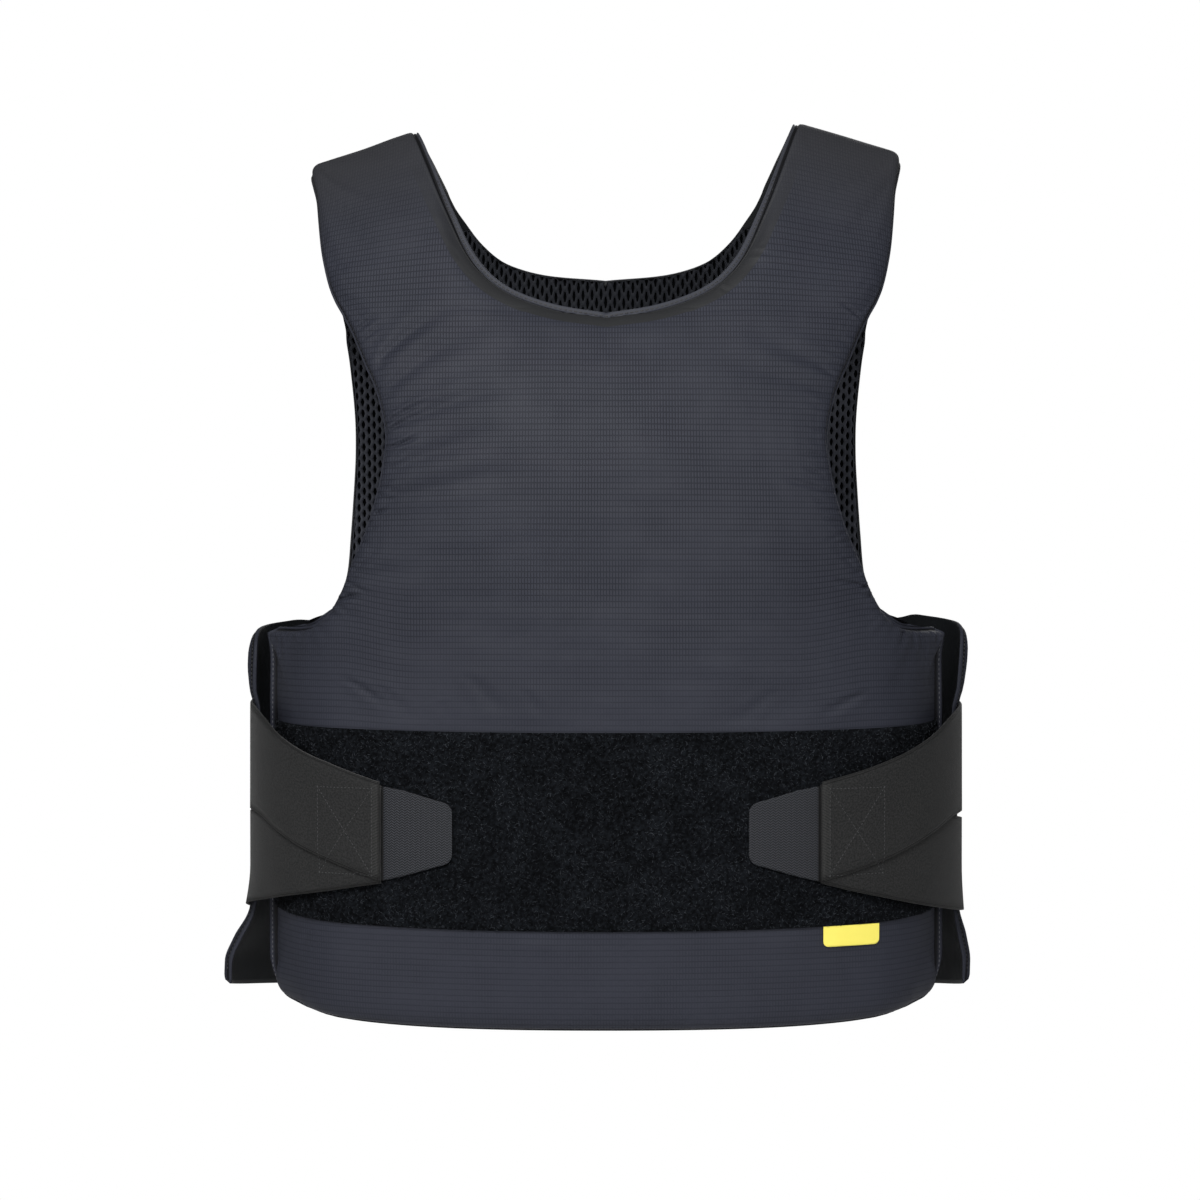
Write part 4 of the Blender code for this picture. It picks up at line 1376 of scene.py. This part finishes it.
def pileGrower(material):
    # small bent loops scattered over the field, thinner where the quilting presses them down
    grower = Grower("loop_pile", {
        "Tufts": ("NodeSocketFloat", 200000.0),
        "Span": ("NodeSocketFloat", 2.2 * mm),
        "Rise": ("NodeSocketFloat", 1.0 * mm),
        "Seed": ("NodeSocketInt", 1),
    })
    share = grower.node("GeometryNodeInputNamedAttribute", {"data_type": "FLOAT"},
                        {"Name": "pileShare"}, "Attribute")
    density = grower.times(share, grower.given("Tufts"))
    dots = grower.node("GeometryNodeDistributePointsOnFaces", {"distribute_method": "RANDOM"},
                       {"Mesh": grower.given("Geometry"), "Density": density,
                        "Seed": grower.given("Seed")})
    upright = dots.node.outputs["Rotation"]
    root = -0.3 * mm
    a = grower.node("ShaderNodeCombineXYZ", None, {"X": grower.times(grower.given("Span"), -0.5), "Z": root})
    b = grower.node("ShaderNodeCombineXYZ", None, {"Z": grower.times(grower.given("Rise"), 2.0)})
    c = grower.node("ShaderNodeCombineXYZ", None, {"X": grower.times(grower.given("Span"), 0.5), "Z": root})
    arc = grower.node("GeometryNodeCurveQuadraticBezier", None,
                      {"Resolution": 3, "Start": a, "Middle": b, "End": c})
    ring = grower.node("GeometryNodeCurvePrimitiveCircle", None, {"Resolution": 3, "Radius": 0.2 * mm})
    tuft = grower.node("GeometryNodeCurveToMesh", None, {"Curve": arc, "Profile Curve": ring})
    lean = grower.node("FunctionNodeRandomValue", {"data_type": "FLOAT_VECTOR"},
                       {"Min": (-0.7, -0.7, -3.14), "Max": (0.7, 0.7, 3.14)})
    turned = grower.node("FunctionNodeRotateRotation", {"rotation_space": "LOCAL"},
                         {"Rotation": upright, "Rotate By": lean})
    size = grower.node("FunctionNodeRandomValue", {"data_type": "FLOAT"},
                       {2: 0.7, 3: 1.35}, 1)
    placed = grower.node("GeometryNodeInstanceOnPoints", None,
                         {"Points": dots, "Instance": tuft, "Rotation": turned, "Scale": size})
    grower.finish(placed, material)
    return grower


loopBase = makePile("loop_ground", rgb(0.0010, 0.0012, 0.0016), rgb(0.0065, 0.0078, 0.0098))
loopYarn = makePile("loop_yarn", rgb(0.0012, 0.0015, 0.0019), rgb(0.0340, 0.0375, 0.0440))
loopField = makeLoopField(loopBase)
finishPiece(loopField, "loop_field")
tufts = pileGrower(loopYarn)
loopCopy = loopField.data.copy()
outerOnly = bmesh.new()
outerOnly.from_mesh(loopCopy)
outerOnly.faces.ensure_lookup_table()
ownFaces = loop["rows"] * loop["columns"]
bmesh.ops.delete(outerOnly, geom=[f for f in outerOnly.faces if f.index >= ownFaces], context="FACES")
outerOnly.to_mesh(loopCopy)
outerOnly.free()
for side, sign in sides.items():
    half = loopCopy.copy()
    bm = bmesh.new()
    bm.from_mesh(half)
    bmesh.ops.delete(bm, geom=[f for f in bm.faces if f.calc_center_median().x * sign < 0], context="FACES")
    bm.to_mesh(half)
    bm.free()
    piece = tufts.bake(f"loop_pile_{side}", half, {
        "Tufts": loop["tufts"] / loop["area"], "Span": loop["tuftSpan"],
        "Rise": loop["tuftHeight"], "Seed": loop["seed"] + sign})
    finishPiece(piece, None)

bands = {
    # turn in degrees; each band's centre line and its distance from the form
    "turns": (34, 40, 46, 53, 60, 67, 74, 84, 100, 120, 145),
    "centres": {
        "upper_right": (-0.4700, -0.4634, -0.4564, -0.4487, -0.4393, -0.4292, -0.4248, -0.4236, -0.4190,
                        -0.4100, -0.4040),
        "upper_left": (-0.4677, -0.4625, -0.4563, -0.4483, -0.4393, -0.4305, -0.4265, -0.4250, -0.4200,
                       -0.4100, -0.4040),
        "lower_right": (-0.4685, -0.4723, -0.4762, -0.4801, -0.4838, -0.4874, -0.4906, -0.4950, -0.5020,
                        -0.5085, -0.5100),
        "lower_left": (-0.4690, -0.4752, -0.4802, -0.4856, -0.4900, -0.4936, -0.4966, -0.4995, -0.5040,
                       -0.5085, -0.5100),
    },
    "rises": {
        "upper": (0.0185, 0.0185, 0.0184, 0.0175, 0.0170, 0.0159, 0.0144, 0.0130, 0.0132, 0.0138, 0.0138),
        "lower": (0.0166, 0.0166, 0.0165, 0.0156, 0.0151, 0.0140, 0.0134, 0.0130, 0.0132, 0.0138, 0.0138),
    },
    # half of the bands' upright measure, more where they run aslant
    "halves": {
        "upper": (0.0320, 0.0320, 0.0320, 0.0320, 0.0325, 0.0338, 0.0356, 0.0366, 0.0352, 0.0332, 0.0318),
        "lower": (0.0320, 0.0320, 0.0320, 0.0320, 0.0320, 0.0320, 0.0320, 0.0321, 0.0321, 0.0320, 0.0318),
    },
    "width": 0.0635,
    "thickness": 0.0018,
    "endTurn": 145,
    "jointX": {"right": 0.1475, "left": 0.1400},
    "columns": 200,
    "rows": 12,
}


tab = {
    "reach": 0.0470,
    "hidden": -0.0140,
    "corner": 0.0052,
    "rise": 0.0149,
    "thickness": 0.0015,
    "places": (-0.0150, 0.0, 0.0150, 0.0290, 0.0470),
    "tops": (-0.4390, -0.4385, -0.4410, -0.4450, -0.4499),
    "bottoms": (-0.5000, -0.5005, -0.4967, -0.4925, -0.4872),
}


def jointTurn(side, fromJoint):
    return turnOver(bands["jointX"][side] - fromJoint, loop["bottom"], tab["rise"])


def bandSpot(turn, across, band, side):
    # across runs from -1 at the lower edge to 1 at the upper one
    degrees = np.degrees(turn)
    middle = smoothValue(degrees, bands["turns"], bands["centres"][f"{band}_{side}"])
    rise = smoothValue(degrees, bands["turns"], bands["rises"][band])
    z = middle + across * smoothValue(degrees, bands["turns"], bands["halves"][band])
    flare = steadyValue(z, back["flareHeights"], back["flares"][side]) * (1 - ease(z, -0.47, -0.44))
    return z, rise + flare * ease(degrees, 60, 80) * (1 - ease(degrees, back["sideTurn"], back["flareTurn"]))


def makeBand(side, band, material):
    sign = sides[side]
    start, end = jointTurn(side, 0), math.radians(bands["endTurn"])
    turn = np.linspace(start, end, bands["columns"] + 1)
    across = np.linspace(-1, 1, bands["rows"] + 1)
    turn, across = np.meshgrid(turn, across)
    z, rise = bandSpot(turn, across, band, side)
    # a folded hem at the joint
    level = np.full_like(z, loop["bottom"])
    hem = np.abs(girth(turn, level) - girth(np.full_like(turn, start), level))
    fold = 1 - ease(hem, 4.2 * mm, 5.0 * mm) if band == "upper" else 0 * hem
    outer = overForm(sign * turn, z, rise + bands["thickness"] + 0.5 * mm * fold)
    normals = formNormal(sign * turn, z)
    uv = np.stack((hem, across * bands["width"] / 2), axis=-1)
    facts = {"edgeDistance": (1 - np.abs(across)) * bands["width"] / 2, "hem": fold}
    piece = stripShell(f"{band}_elastic_{side}", outer, bands["thickness"], normals, material, uv,
                       facts, flip=sign < 0, roundTo=0.35 * mm)
    return finishPiece(piece, f"{band}_band_{side}")


elastic = makeElastic()
bandPieces = {}
for side in sides:
    for band in ("lower", "upper"):
        bandPieces[band, side] = makeBand(side, band, elastic)


def makeTab(side, material):
    sign = sides[side]
    bend = tab["reach"] - tab["corner"]
    straight = np.linspace(tab["hidden"], bend, 60)[:-1]
    angles = np.linspace(0, np.pi / 2, 12)
    fromJoint = np.concatenate((straight, bend + tab["corner"] * np.sin(angles)))[::-1]
    past = np.clip((fromJoint - bend) / tab["corner"], 0, 1)
    inset = tab["corner"] * (1 - np.sqrt(np.clip(1 - past**2, 0, 1)))
    top = np.interp(fromJoint, tab["places"], tab["tops"]) - inset
    bottom = np.interp(fromJoint, tab["places"], tab["bottoms"]) + inset
    rows = np.linspace(0, 1, 41)[:, None]
    z = bottom + (top - bottom) * rows
    turn = np.broadcast_to(jointTurn(side, fromJoint), z.shape)
    outer = overForm(sign * turn, z, np.full(z.shape, tab["rise"] + tab["thickness"]))
    normals = formNormal(sign * turn, z)
    uv = np.stack((np.broadcast_to(fromJoint, z.shape), z), axis=-1)
    piece = stripShell(f"hook_tape_{side}", outer, tab["thickness"], normals, material, uv,
                       flip=sign < 0, roundTo=0.3 * mm)
    return finishPiece(piece, f"hook_tab_{side}")


hookTape = makeHookTape()
tabPieces = {side: makeTab(side, hookTape) for side in sides}

tag = {
    "innerX": 0.1430,
    "outerX": 0.1811,
    "top": -0.5305,
    "bottom": -0.5440,
    "corner": 0.0034,
    "thickness": 0.0008,
    "rise": 0.0125,
}


def makeTag(material):
    width = tag["outerX"] - tag["innerX"]
    angles = np.linspace(0, np.pi / 2, 8)
    near = tag["corner"] * (1 - np.cos(angles))
    inset = np.concatenate((near, np.linspace(tag["corner"], width - tag["corner"], 24)[1:-1],
                            (width - near)[::-1]))
    gone = np.clip(tag["corner"] - np.minimum(inset, width - inset), 0, tag["corner"])
    bottom = tag["bottom"] + tag["corner"] - np.sqrt(tag["corner"] ** 2 - gone**2)
    rows = np.linspace(0, 1, 13)[:, None]
    z = bottom + (tag["top"] - bottom) * rows
    turn = np.broadcast_to(turnOver(tag["innerX"] + inset, tag["top"], tag["rise"]), z.shape)
    outer = overForm(turn, z, np.full(z.shape, tag["rise"] + tag["thickness"]))
    uv = np.stack((np.broadcast_to(inset, z.shape), z), axis=-1)
    piece = stripShell("bare_tag", outer, tag["thickness"], formNormal(turn, z), material, uv,
                       roundTo=0.15 * mm)
    return finishPiece(piece, "side_tag")


tagPiece = makeTag(makeTagCloth())
for (band, side), piece in bandPieces.items():
    along = np.linspace(jointTurn(side, 0), math.radians(bands["endTurn"]), 200)
    z, rise = bandSpot(along, 0 * along, band, side)
    line = overForm(along, z, rise)
for side, piece in tabPieces.items():
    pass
print("strips: four bands, two hook tabs and the tag")

mesh = {
    "pitchAcross": 6.7 * mm,
    "pitchUp": 4.1 * mm,      # from row to row, each shifted by half
    "cellWide": 2.45 * mm,    # from the middle of a cell to its side corners
    "holeWide": 1.14 * mm,
    "holeTall": 2.65 * mm,
    "stretch": 0.30,          # how much wider the cells are by the armholes
    "stretchTurns": (0.10, 0.19),
    "thickness": 1.1 * mm,
    "crown": 0.22 * mm,
    "backing": 0.5 * mm,
    "offset": 3.6 * mm,       # the lining's inner face lies this far under the back panel's
    "topShare": 1.55,
    "weld": 0.05 * mm,
    "lastColumn": 0.997,
    "wingLimit": 128,
    "wingEnds": (-0.325, -0.300),
}


def liningOutline():
    # the lining's rim in (turn, path), the right way round for a test of what is inside
    turn, path, _ = backLattice
    keep = path[:, 0] <= rollPath(2 - mesh["topShare"]) + 1e-6
    turn, path = turn[keep][3:], path[keep][3:]
    column = int(round(mesh["lastColumn"] * (turn.shape[1] - 1)))
    turn, path = turn[:, : column + 1], path[:, : column + 1]
    limit = math.radians(mesh["wingLimit"]) * (1 - ease(path[:, -1], *mesh["wingEnds"]))
    last = np.maximum(turn[:, -1], limit)[:, None]
    first = turn[:, :1]
    return first + (turn - first) * (last - first) / (turn[:, -1:] - first), path


def cellMesh():
    # one flat cell: an elongated hole in a hexagon, closed, with a raised strand round it
    a, b = mesh["cellWide"], mesh["pitchAcross"] / 2 - mesh["cellWide"]
    up = mesh["pitchUp"]
    outer = np.array(((a, 0), (b, up), (-b, up), (-a, 0), (-b, -up), (b, -up)))
    w, h = mesh["holeWide"], mesh["holeTall"]
    hole = np.array(((w, 0), (0.42 * w, h), (-0.42 * w, h), (-w, 0), (-0.42 * w, -h), (0.42 * w, -h)))
    t, c = mesh["thickness"], mesh["crown"]
    rings = [(outer, 0.0), (hole, c), (hole, t - c), (outer, t)]
    points = [(x, y, z) for ring, z in rings for x, y in ring]
    faces = []
    for k in range(3):
        for i in range(6):
            n = (i + 1) % 6
            faces.append((6 * k + i, 6 * (k + 1) + i, 6 * (k + 1) + n, 6 * k + n))
    made = bpy.data.meshes.new("mesh_cell")
    made.from_pydata(points, [], faces)
    return made


def insideOutline(points, outline):
    # even-odd test of each point against a closed polygon
    x, y = points[:, 0], points[:, 1]
    inside = np.zeros(len(points), bool)
    x0, y0 = outline[-1]
    for x1, y1 in outline:
        crosses = (y0 > y) != (y1 > y)
        with np.errstate(divide="ignore", invalid="ignore"):
            at = (x1 - x0) * (y - y0) / (y1 - y0) + x0
        inside ^= crosses & (x < at)
        x0, y0 = x1, y1
    return inside


def nearestOnOutline(points, outline):
    following = np.roll(outline, -1, axis=0)
    best = np.full(len(points), np.inf)
    spot = points.copy()
    for a, b in zip(outline, following):
        d = b - a
        t = np.clip((points - a) @ d / max(d @ d, 1e-15), 0, 1)
        on = a + t[:, None] * d
        far = np.linalg.norm(points - on, axis=1)
        closer = far < best
        best[closer], spot[closer] = far[closer], on[closer]
    return spot, best


def turnAt(around, path):
    # the turn from the back centre at which the form is this far round
    turns = np.linspace(0, math.radians(110), 221)
    ring = formPoint(np.pi - turns[None, :] + 0 * path[:, None], path[:, None] + 0 * turns[None, :])
    far = np.concatenate((np.zeros((len(path), 1)),
                          np.cumsum(np.linalg.norm(np.diff(ring, axis=1), axis=2), axis=1)), axis=1)
    return np.array([np.interp(a, f, turns) for a, f in zip(around, far)])


def backGirth(turn, path):
    steps = np.linspace(0, 1, 49)
    ring = formPoint(np.pi - (np.pi - turn)[..., None] * steps, path[..., None] + 0 * steps)
    return np.linalg.norm(np.diff(ring, axis=-2), axis=-1).sum(axis=-1)


def widened(around):
    # the lattice's own way round, stretched towards the armholes
    start, end = mesh["stretchTurns"]
    t = np.clip((around - start) / (end - start), 0, 1)
    grown = (end - start) * t**3 * (1 - t / 2) + np.maximum(around - end, 0)
    return around + mesh["stretch"] * grown


def makeLining(material, backing):
    cell = bpy.data.objects.new("mesh_cell", cellMesh())
    scene.collection.objects.link(cell)
    grower = Grower("air_mesh", {"Cell": ("NodeSocketObject", None),
                                 "Weld": ("NodeSocketFloat", mesh["weld"])})
    info = grower.node("GeometryNodeObjectInfo", None, {"Object": grower.given("Cell")}, "Geometry")
    placed = grower.node("GeometryNodeInstanceOnPoints", None,
                         {"Points": grower.given("Geometry"), "Instance": info})
    real = grower.node("GeometryNodeRealizeInstances", None, {"Geometry": placed})
    joined = grower.node("GeometryNodeMergeByDistance", None,
                         {"Geometry": real, "Distance": grower.given("Weld")})
    grower.finish(joined, material)
    pieces = []
    turn, path = liningOutline()
    around = backGirth(turn, path)
    rim = np.concatenate((
        np.stack((around[0], path[0]), axis=1),
        np.stack((around[1:, -1], path[1:, -1]), axis=1),
        np.stack((around[-1, -2::-1], path[-1, -2::-1]), axis=1),
        np.stack((around[-2:0:-1, 0], path[-2:0:-1, 0]), axis=1),
    ))
    low, high = rim.min(axis=0), rim.max(axis=0)
    rows = int((high[1] - low[1]) / mesh["pitchUp"]) + 2
    columns = int(high[0] / mesh["pitchAcross"]) + 2
    for side, sign in sides.items():
        dots = []
        for row in range(rows):
            shift = 0.5 if row % 2 else 0.0
            for column in range(columns):
                dots.append(((column + shift) * mesh["pitchAcross"], low[1] + row * mesh["pitchUp"]))
        dots = np.array(dots)
        reach = mesh["pitchUp"] * 0.6
        wide = np.stack((widened(dots[:, 0]), dots[:, 1]), axis=1)
        near = nearestOnOutline(wide, rim)[1]
        dots = dots[insideOutline(wide, rim) | (near < reach)]
        flat = bpy.data.meshes.new("mesh_dots")
        flat.from_pydata([(x, y, 0) for x, y in dots], [], [])
        piece = grower.bake(f"lining_mesh_{side}", flat, {"Cell": cell, "Weld": mesh["weld"]})
        points = np.zeros(len(piece.data.vertices) * 3)
        piece.data.vertices.foreach_get("co", points)
        points = points.reshape(-1, 3)
        spots = points[:, :2].copy()
        spots[:, 0] = np.maximum(spots[:, 0], 0)
        spots[:, 0] = widened(spots[:, 0])
        outside = ~insideOutline(spots, rim)
        spots[outside] = nearestOnOutline(spots[outside], rim)[0]
        turns = np.pi - turnAt(spots[:, 0], spots[:, 1])
        away = backOffset(turns, spots[:, 1], side) - mesh["offset"] + points[:, 2]
        bent = overForm(sign * turns, raisedPath(turns, spots[:, 1], back, side), away)
        piece.data.vertices.foreach_set("co", bent.astype(np.float32).ravel())
        layer = piece.data.uv_layers.new(name="cloth")
        loops = np.zeros(len(piece.data.loops), np.int32)
        piece.data.loops.foreach_get("vertex_index", loops)
        layer.data.foreach_set("uv", spots.astype(np.float32)[loops].ravel())
        bm = bmesh.new()
        bm.from_mesh(piece.data)
        bmesh.ops.dissolve_degenerate(bm, dist=0.02 * mm, edges=bm.edges)
        bmesh.ops.recalc_face_normals(bm, faces=bm.faces)
        bm.to_mesh(piece.data)
        bm.free()
        piece.data.shade_smooth()
        finishPiece(piece, None)
        pieces.append(piece)
    bpy.data.objects.remove(cell)
    halves = []
    for side, sign in sides.items():
        t, p = turn[::2, ::2], path[::2, ::2]
        away = backOffset(t, p, side) - mesh["offset"] + mesh["thickness"] + 0.9 * mm
        risen = raisedPath(t, p, back, side)
        outer = overForm(sign * t, risen, away + mesh["backing"])
        inner = overForm(sign * t, risen, away)
        uv = np.stack((sign * backGirth(t, p), p), axis=-1)
        rows, columns = t.shape
        ids = np.arange(rows * columns).reshape(rows, columns)
        faces = []
        for grid, turned in ((ids, True), (ids + rows * columns, False)):
            quads = gridFaces(grid)
            faces += (quads[:, ::-1] if turned else quads).tolist()
        ring = ringOf(ids)
        onCentre = {int(i) for i in ids[:, 0] if abs(outer.reshape(-1, 3)[i][0]) < 1e-6}
        for k in range(len(ring)):
            a, b = int(ring[k]), int(ring[(k + 1) % len(ring)])
            if a in onCentre and b in onCentre:
                continue
            faces.append([a, b, b + rows * columns, a + rows * columns])
        if sign < 0:
            faces = [face[::-1] for face in faces]
        halves.append((np.concatenate((outer.reshape(-1, 3), inner.reshape(-1, 3))),
                       np.concatenate((uv.reshape(-1, 2),) * 2), faces))
    points = np.concatenate([h[0] for h in halves])
    shift = len(halves[0][0])
    faces = halves[0][2] + [[i + shift for i in face] for face in halves[1][2]]
    uv = np.concatenate([h[1] for h in halves])
    sheet = meshObject("lining_backing", points, faces, backing, uv)
    finishPiece(sheet, "back_mesh_lining")
    cloth = overForm(turn, path, backOffset(turn, path, "right"))
    cellUp, cellAcross = cloth[1:, :-1] - cloth[:-1, :-1], cloth[:-1, 1:] - cloth[:-1, :-1]
    wide, tall = 2 * float(high[0]), float(high[1] - low[1])
    return pieces


liningPieces = makeLining(makeAirMesh(), makeMeshBacking())
print("lining:", [len(piece.data.polygons) for piece in liningPieces], "mesh faces")

stitching = {
    "neck": {"inset": 2.6 * mm, "pitch": 3.45 * mm, "length": 2.5 * mm, "width": 1.0 * mm,
             "height": 0.6 * mm},
    "side": {"inset": 1.5 * mm, "pitch": 3.3 * mm, "length": 2.2 * mm, "width": 0.60 * mm},
    "armhole": {"inset": 1.2 * mm, "pitch": 2.9 * mm, "length": 2.0 * mm, "width": 0.95 * mm,
                "height": 0.45 * mm},
    "box": {"pitch": 2.7 * mm, "length": 1.7 * mm, "width": 0.42 * mm},
}
stitchStart = 1.5 * mm    # how far over the rim a line starts before it is laid on the cloth
backInsets = {"outer": 1.4 * mm, "neck": 2.6 * mm}


def insetLine(lattice, panel, inset, rows, inner=False):
    # where each row comes this far in from its outer or inner rim
    turn, path, centre = lattice
    distance = panel["distance"]
    found = []
    if inner:
        below = distance[centre::-1, 0]
        k = int(np.argmax(below >= inset))
        found.append((turn[centre - k, 0], path[centre - k, 0]))
    for row in rows:
        order = slice(None) if inner else slice(None, None, -1)
        far, turns, paths = distance[row][order], turn[row][order], path[row][order]
        k = int(np.argmax(far >= inset))
        if k == 0 or far[k] < inset:
            continue
        t = (inset - far[k - 1]) / (far[k] - far[k - 1])
        found.append((turns[k - 1] + t * (turns[k] - turns[k - 1]),
                      paths[k - 1] + t * (paths[k] - paths[k - 1])))
    return np.array(found)


darkThread = makeThread("dark_thread", rgb(0.0020, 0.0020, 0.0025), rgb(0.0060, 0.0060, 0.0070))
greyThread = makeThread("grey_thread", rgb(0.060, 0.062, 0.070), rgb(0.10, 0.10, 0.11))
softThread = makeThread("soft_grey_thread", rgb(0.014, 0.015, 0.016), rgb(0.042, 0.043, 0.046))
frontSkinTree = skinOf(frontCover)
backSkinTree = skinOf(backCover)
frontTurn, frontPath, frontCentre = frontLattice
backTurn, _, backCentre = backLattice


def sewLines(name, lines, skins, thread, spec):
    grower = stitchGrower(thread)
    piece = grower.bake(name, lineMesh(name, lines, skins), {
        "Pitch": spec["pitch"], "Length": spec["length"], "Width": spec["width"],
        "Height": spec.get("height", 0.35 * mm)})
    return finishPiece(piece, None)


neckLines, sideLines, rimLines, backLines = [], [], [], []
for side, sign in sides.items():
    def onFront(spots):
        away = frontOffset(spots[:, 0], spots[:, 1], side) + edge["flange"] + stitchStart
        return overForm(sign * spots[:, 0], raisedPath(spots[:, 0], spots[:, 1], front, side), away)

    def onBack(spots):
        away = backOffset(spots[:, 0], spots[:, 1], side) + edge["flange"] + stitchStart
        return overForm(sign * spots[:, 0], raisedPath(spots[:, 0], spots[:, 1], back, side), away)

    heights = frontPath[:, -1]
    neckRows = range(frontCentre, len(frontTurn) - 2)
    neckLines.append(onFront(insetLine(frontLattice, front, stitching["neck"]["inset"], neckRows, True)))
    low = [r for r in range(len(heights)) if -0.590 < heights[r] < -0.350]
    spots = insetLine(frontLattice, front, stitching["side"]["inset"], low)
    flangeWidth, _, _, standing, _ = rimKinds["side"]
    lifted = standing * mm * (1 - stitching["side"]["inset"] / (flangeWidth * mm))
    away = frontOffset(spots[:, 0], spots[:, 1], side) + edge["flange"] + lifted
    sideLines.append(overForm(sign * spots[:, 0], raisedPath(spots[:, 0], spots[:, 1], front, side), away))
    high = [r for r in range(len(heights) - 2) if heights[r] > -0.338]
    rimLines.append(onFront(insetLine(frontLattice, front, stitching["armhole"]["inset"], high)))
    outerRows, neckRows = range(6, len(backTurn) - 2), range(backCentre, len(backTurn) - 2)
    backLines.append(onBack(insetLine(backLattice, back, backInsets["outer"], outerRows)))
    backLines.append(onBack(insetLine(backLattice, back, backInsets["neck"], neckRows, True)))
sewLines("neck_stitches", neckLines, [frontSkinTree], darkThread, stitching["neck"])
sewLines("side_stitches", sideLines, [frontSkinTree], greyThread, stitching["side"])
sewLines("armhole_stitches", rimLines, [frontSkinTree], darkThread, stitching["armhole"])
sewLines("back_rim_stitches", backLines, [backSkinTree], darkThread, stitching["armhole"])

# the sewn box with its cross at each joint, by distance from the joint and height
box = {"near": 4.6 * mm, "far": 41.5 * mm, "top": -0.4399, "bottom": -0.4965, "fine": 40}
boxLines = []
for side, sign in sides.items():
    corners = {
        "a": (box["near"], box["top"]), "b": (box["far"], box["top"]),
        "c": (box["far"], box["bottom"]), "d": (box["near"], box["bottom"]),
    }
    for start, end in ("ab", "bc", "cd", "da", "ac", "bd"):
        (x0, z0), (x1, z1) = corners[start], corners[end]
        t = np.linspace(0, 1, box["fine"])
        x, z = x0 + (x1 - x0) * t, z0 + (z1 - z0) * t
        turn = jointTurn(side, -x)
        _, rise = bandSpot(turn, 0 * turn, "upper", side)
        boxLines.append(overForm(sign * turn, z, rise + bands["thickness"]))
bandTrees = [skinOf(piece) for piece in bandPieces.values()]
sewLines("band_stitches", boxLines, bandTrees, softThread, stitching["box"])
print("stitches sewn")
